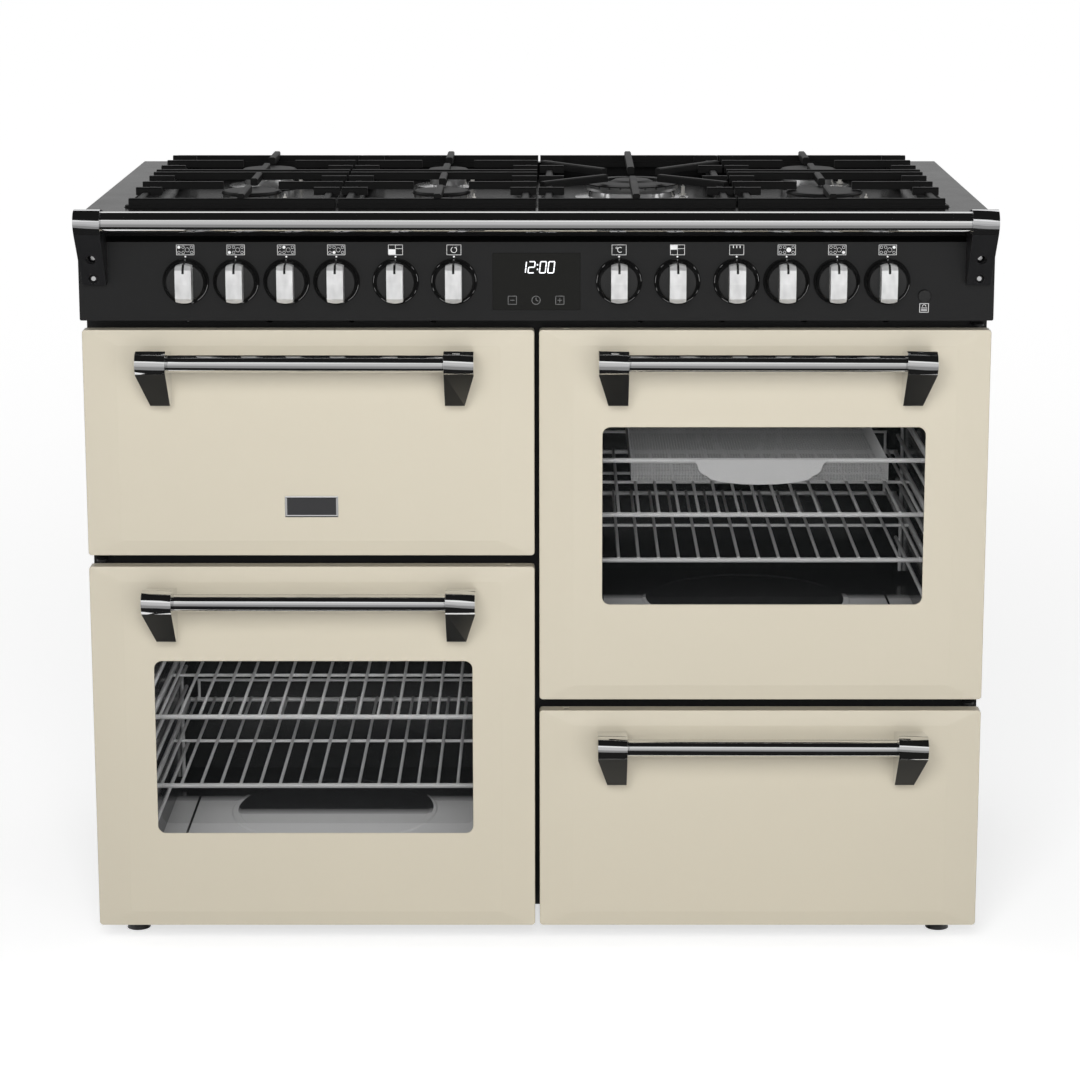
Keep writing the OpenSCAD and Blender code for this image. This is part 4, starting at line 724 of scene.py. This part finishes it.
low = BASKET_TOP - BASKET_DEEP
left, right = BASKET_X - BASKET_HALF + 0.6, BASKET_X + BASKET_HALF - 0.6
front, rear = BASKET_FRONT + 0.8, BASKET_REAR - 0.8
paths = []
count = int((right - left) / MESH_PITCH)
for i in range(count + 1):
    x = left + (right - left) * i / count
    paths.append([(x, front, BASKET_TOP), (x, front, low), (x, rear, low), (x, rear, BASKET_TOP)])
count = int((rear - front) / MESH_PITCH)
for i in range(count + 1):
    y = front + (rear - front) * i / count
    paths.append([(left, y, BASKET_TOP), (left, y, low), (right, y, low), (right, y, BASKET_TOP)])
for i in range(1, 7):
    z = BASKET_TOP - MESH_PITCH * i
    corners = [(left, front, z), (right, front, z), (right, rear, z), (left, rear, z)]
    paths.append(corners + corners[:1])
mesh_steel = plain("mesh_steel", (0.78, 0.78, 0.78), 0.4, 2.0, 0.01, Metallic=0.3)
mesh_wire = wires("fry_basket_mesh", paths, MESH_RADIUS, mesh_steel, "root")
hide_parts("fry_basket")
print("basket wires", len(paths))

# %% Basket frame and grip
FRAME_HALF, FRAME_RADIUS = 211.4, 3.0
frame_left, frame_right = BASKET_X - FRAME_HALF, BASKET_X + FRAME_HALF
crossbars = [[(frame_left - FRAME_RADIUS, y, BASKET_TOP), (frame_right + FRAME_RADIUS, y, BASKET_TOP)]
             for y in (BASKET_FRONT, BASKET_REAR)]
side_bars = [[(x, BASKET_FRONT, BASKET_TOP), (x, BASKET_REAR, BASKET_TOP)]
             for x in (frame_left, frame_right)]
wires("fry_basket_frame", crossbars + side_bars, FRAME_RADIUS, wire, "root", 3)

grip_steel = plain("grip_steel", (0.85, 0.85, 0.85), 0.4, 2.0, 0.004, Metallic=0.4)
GRIP_W, GRIP_H, GRIP_THICK = 85.0, 30.0, 2.0
shoulder = [(0, 0), (3, 1), (6, 3.5), (7.5, 7), (8.5, 11), (11, 14.5), (15, 17.5), (20, 19.5)]
arc_w, arc_top = GRIP_W - shoulder[-1][0], shoulder[-1][1]
outline = [(-GRIP_W, 2.0)] + [(p - GRIP_W, -h) for p, h in shoulder]
turns = [math.radians(t) for t in range(10, 180, 10)]
outline += [(-arc_w * math.cos(t), -arc_top - (GRIP_H - arc_top) * math.sin(t)) for t in turns]
outline += [(GRIP_W - p, -h) for p, h in reversed(shoulder)] + [(GRIP_W, 2.0)]
grip = bmesh.new()
grip_face = BASKET_FRONT - FRAME_RADIUS - 1.3
rings = [[grip.verts.new(at(BASKET_X + x, y, BASKET_TOP + z)) for x, z in outline]
         for y in (grip_face, grip_face + GRIP_THICK)]
grip.faces.new(rings[0])
grip.faces.new(reversed(rings[1]))
for i in range(len(outline)):
    j = (i + 1) % len(outline)
    grip.faces.new((rings[0][i], rings[1][i], rings[1][j], rings[0][j]))
bmesh.ops.recalc_face_normals(grip, faces=grip.faces)
grip_plate = piece("fry_basket_grip", grip, grip_steel, "root")
grip_bevel = grip_plate.modifiers.new("bevel", "BEVEL")
grip_bevel.width = 0.5 * MM
grip_bevel.segments = 2
print("basket frame and grip done")

# %% [markdown]
# ## The plate on the grill door
# The real door carries a small framed plate. Its field is left bare here: a chrome frame with soft
# edges round a dark, glossy field.

# %% Bare plate
PLATE_X, PLATE_Z, PLATE_W, PLATE_H = -275.0, 568.0, 65.0, 26.0
PLATE_RIM, PLATE_RISE = 2.6, 1.6


def framed_plate(name, x, z, w, h, face, rim, rise, material, body):
    """A flat plate with a raised rim, drawn as rings of corners from the outside in."""
    mesh = bmesh.new()
    steps = [(0, 0.0), (0, rise), (rim * 0.5, rise + 0.35), (rim, rise), (rim, rise - 0.5)]
    rings = []
    for inset, out in steps:
        rings.append([mesh.verts.new(at(x + sx * (w / 2 - inset), face - out, z + sz * (h / 2 - inset)))
                      for sx, sz in SQUARE])
    for a, b in zip(rings, rings[1:]):
        for i in range(4):
            j = (i + 1) % 4
            mesh.faces.new((a[i], a[j], b[j], b[i]))
    mesh.faces.new(rings[-1])
    bmesh.ops.recalc_face_normals(mesh, faces=mesh.faces)
    return piece(name, mesh, material, body)


plate = framed_plate("grill_door_plate", PLATE_X, PLATE_Z, PLATE_W, PLATE_H, 0.0, PLATE_RIM,
                     PLATE_RISE, chrome, "grill_door")
plate.data.materials.append(plain("plate_field", (0.03, 0.03, 0.032), 0.3, 30.0))
field_face = plate.data.polygons[len(plate.data.polygons) - 1]
field_face.material_index = 1
print("plate has", len(plate.data.polygons), "faces")

# %% [markdown]
# ## Studio
# A white room, lit softly from the front. The floor is white and takes a faint shadow. Bright and dark
# cards stand round the cooker for the chrome and the glossy black to reflect, since chrome without
# something dark in it looks like grey plastic. The cards are stage. Only mirror-like surfaces see
# them, except the overhead card, a black flag that also keeps the room's light off the top.

# %% Floor and world
def stage_plane(name, size_x, size_y, centre, material, turn=0.0):
    """A flat rectangle that belongs to the stage, turned about the x axis."""
    mesh = bpy.data.meshes.new(name)
    corners = [(sx * size_x / 2, sy * size_y / 2, 0) for sx, sy in SQUARE]
    mesh.from_pydata(corners, [], [(0, 1, 2, 3)])
    mesh.materials.append(material)
    made = add_object(name, mesh)
    made.location = centre
    made.rotation_euler = (turn, 0, 0)
    return made


AMBIENT = 0.44
FLOOR_GREY = 0.8


def seen_directly(tree):
    """1 for rays from the camera, off a shiny surface or through glass, 0 for light on things."""
    path = tree.nodes.new("ShaderNodeLightPath")
    either = [path.outputs["Is %s Ray" % kind] for kind in ("Camera", "Glossy", "Transmission")]
    while len(either) > 1:
        most = tree.nodes.new("ShaderNodeMath")
        most.operation = "MAXIMUM"
        tree.links.new(either.pop(0), most.inputs[0])
        tree.links.new(either.pop(0), most.inputs[1])
        either.append(most.outputs[0])
    return either[0]


floor_paint = Paint("floor_white", Base_Color=(FLOOR_GREY, FLOOR_GREY, FLOOR_GREY), Roughness=0.9,
                    Specular_IOR_Level=0.0, Emission_Strength=1.0 - AMBIENT * FLOOR_GREY)
shown = Value(floor_paint, seen_directly(floor_paint.tree))
floor_paint.set("Emission Color", floor_paint.blend(shown, (0, 0, 0), (1, 1, 1)))
stage_plane("floor", 40, 40, (0, 0, 0), floor_paint.material)

world = bpy.data.worlds.new("studio")
bpy.context.scene.world = world
world.use_nodes = True
background = world.node_tree.nodes["Background"]
level = world.node_tree.nodes.new("ShaderNodeMapRange")
level.inputs["To Min"].default_value = AMBIENT
level.inputs["To Max"].default_value = 1.0
world.node_tree.links.new(seen_directly(world.node_tree), level.inputs["Value"])
world.node_tree.links.new(level.outputs[0], background.inputs["Strength"])
background.inputs["Color"].default_value = (1, 1, 1, 1)
print("floor and world ready")

# %% Cards
CARD_LIFT = 0.004


def card(name, size_x, size_y, centre, level, turn=0.0, flag=False):
    """A card of that brightness that only mirror-like surfaces see; a flag also holds light back."""
    paint = Paint(name, Base_Color=(0, 0, 0), Roughness=1.0, Specular_IOR_Level=0.0,
                  Emission_Color=(level, level, level), Emission_Strength=1.0)
    made = stage_plane(name, size_x, size_y, centre, paint.material, turn)
    made.visible_camera = False
    made.visible_diffuse = made.visible_shadow = flag
    made.visible_transmission = made.visible_volume_scatter = False
    return made


card("overhead_card", 7.0, 5.2, (0, -1.35, 2.6), 0.012, flag=True)
card("front_card_high", 9.0, 1.3, (0, -4.8, 2.65), 1.0, math.pi / 2)
card("front_card_low", 9.0, 2.0, (0, -4.8, 1.0), 0.62, math.pi / 2)
card("far_floor_card", 9.0, 2.6, (0, -3.5, CARD_LIFT), 0.5)
card("middle_floor_card", 9.0, 1.3, (0, -1.55, CARD_LIFT), 0.3)
card("near_floor_card", 3.0, 0.62, (0, -0.59, CARD_LIFT), 0.015)
card("back_card", 9.0, 2.4, (0, 3.4, 1.2), 0.55, math.pi / 2)
print("cards hung")


# %% Lamps
def lamp(name, place, target, width, depth, power):
    """A soft box at place that faces target; chrome sees the cards in its place."""
    data = bpy.data.lights.new(name, "AREA")
    data.shape = "RECTANGLE"
    data.size, data.size_y = width, depth
    data.energy = power
    made = add_object(name, data)
    made.visible_camera = made.visible_glossy = False
    made.location = place
    made.rotation_euler = (Vector(target) - Vector(place)).to_track_quat("-Z", "Y").to_euler()


lamp("key_lamp", (-0.3, -3.4, 2.1), (0, -0.2, 0.5), 1.5, 1.5, 73)
lamp("fill_lamp", (0.9, -3.6, 0.7), (0, -0.2, 0.3), 1.8, 1.8, 34)
print("lamps lit")

# %% [markdown]
# ## Light inside the ovens
# The photo shows bright shelves and a pale floor behind both windows. Two small soft boxes in each oven
# light them: one over the floor that faces straight down, one under the ceiling near the door that is
# aimed at the floor further in. The floor's pale front is also painted light in the oven enamel.
# Whether the photographed light came from inside isn't known.

# %% Oven lights
OVENS = {
    "left": {"x": -OVEN_X, "floor": 76.0, "ceiling": 446.6, "down": 0.2, "inwards": 0.45},
    "right": {"x": OVEN_X, "floor": 370.3, "ceiling": 740.9, "down": 0.15, "inwards": 0.2},
}
for side, oven in OVENS.items():
    x, floor = oven["x"], oven["floor"]
    low, high = at(x, 220, floor + 95), at(x, 105, oven["ceiling"] - 8)
    lamp(side + "_floor_light", low, low - Vector((0, 0, 1)), 0.38, 0.32, oven["down"])
    lamp(side + "_ceiling_light", high, at(x, 330, floor), 0.4, 0.08, oven["inwards"])
print("oven lights on")

# %% [markdown]
# ## Camera
# The photographer stood well back and a little above the hob, looking slightly down. A long lens keeps
# the doors' edges nearly parallel, and a small shift moves the cooker to its place in the picture.

# %% Camera
camera_data = bpy.data.cameras.new("camera")
camera_data.lens = 100.7
camera_data.sensor_width = 36
camera_data.shift_x = -0.0169
camera_data.shift_y = -0.11
camera = add_object("camera", camera_data)
camera.location = (0.0261, -3.8675, 1.3843)
camera.rotation_euler = (math.radians(90 - 11.16), 0, 0)
bpy.context.scene.camera = camera
bpy.context.scene.view_settings.view_transform = "Standard"
print("camera", tuple(camera.location))
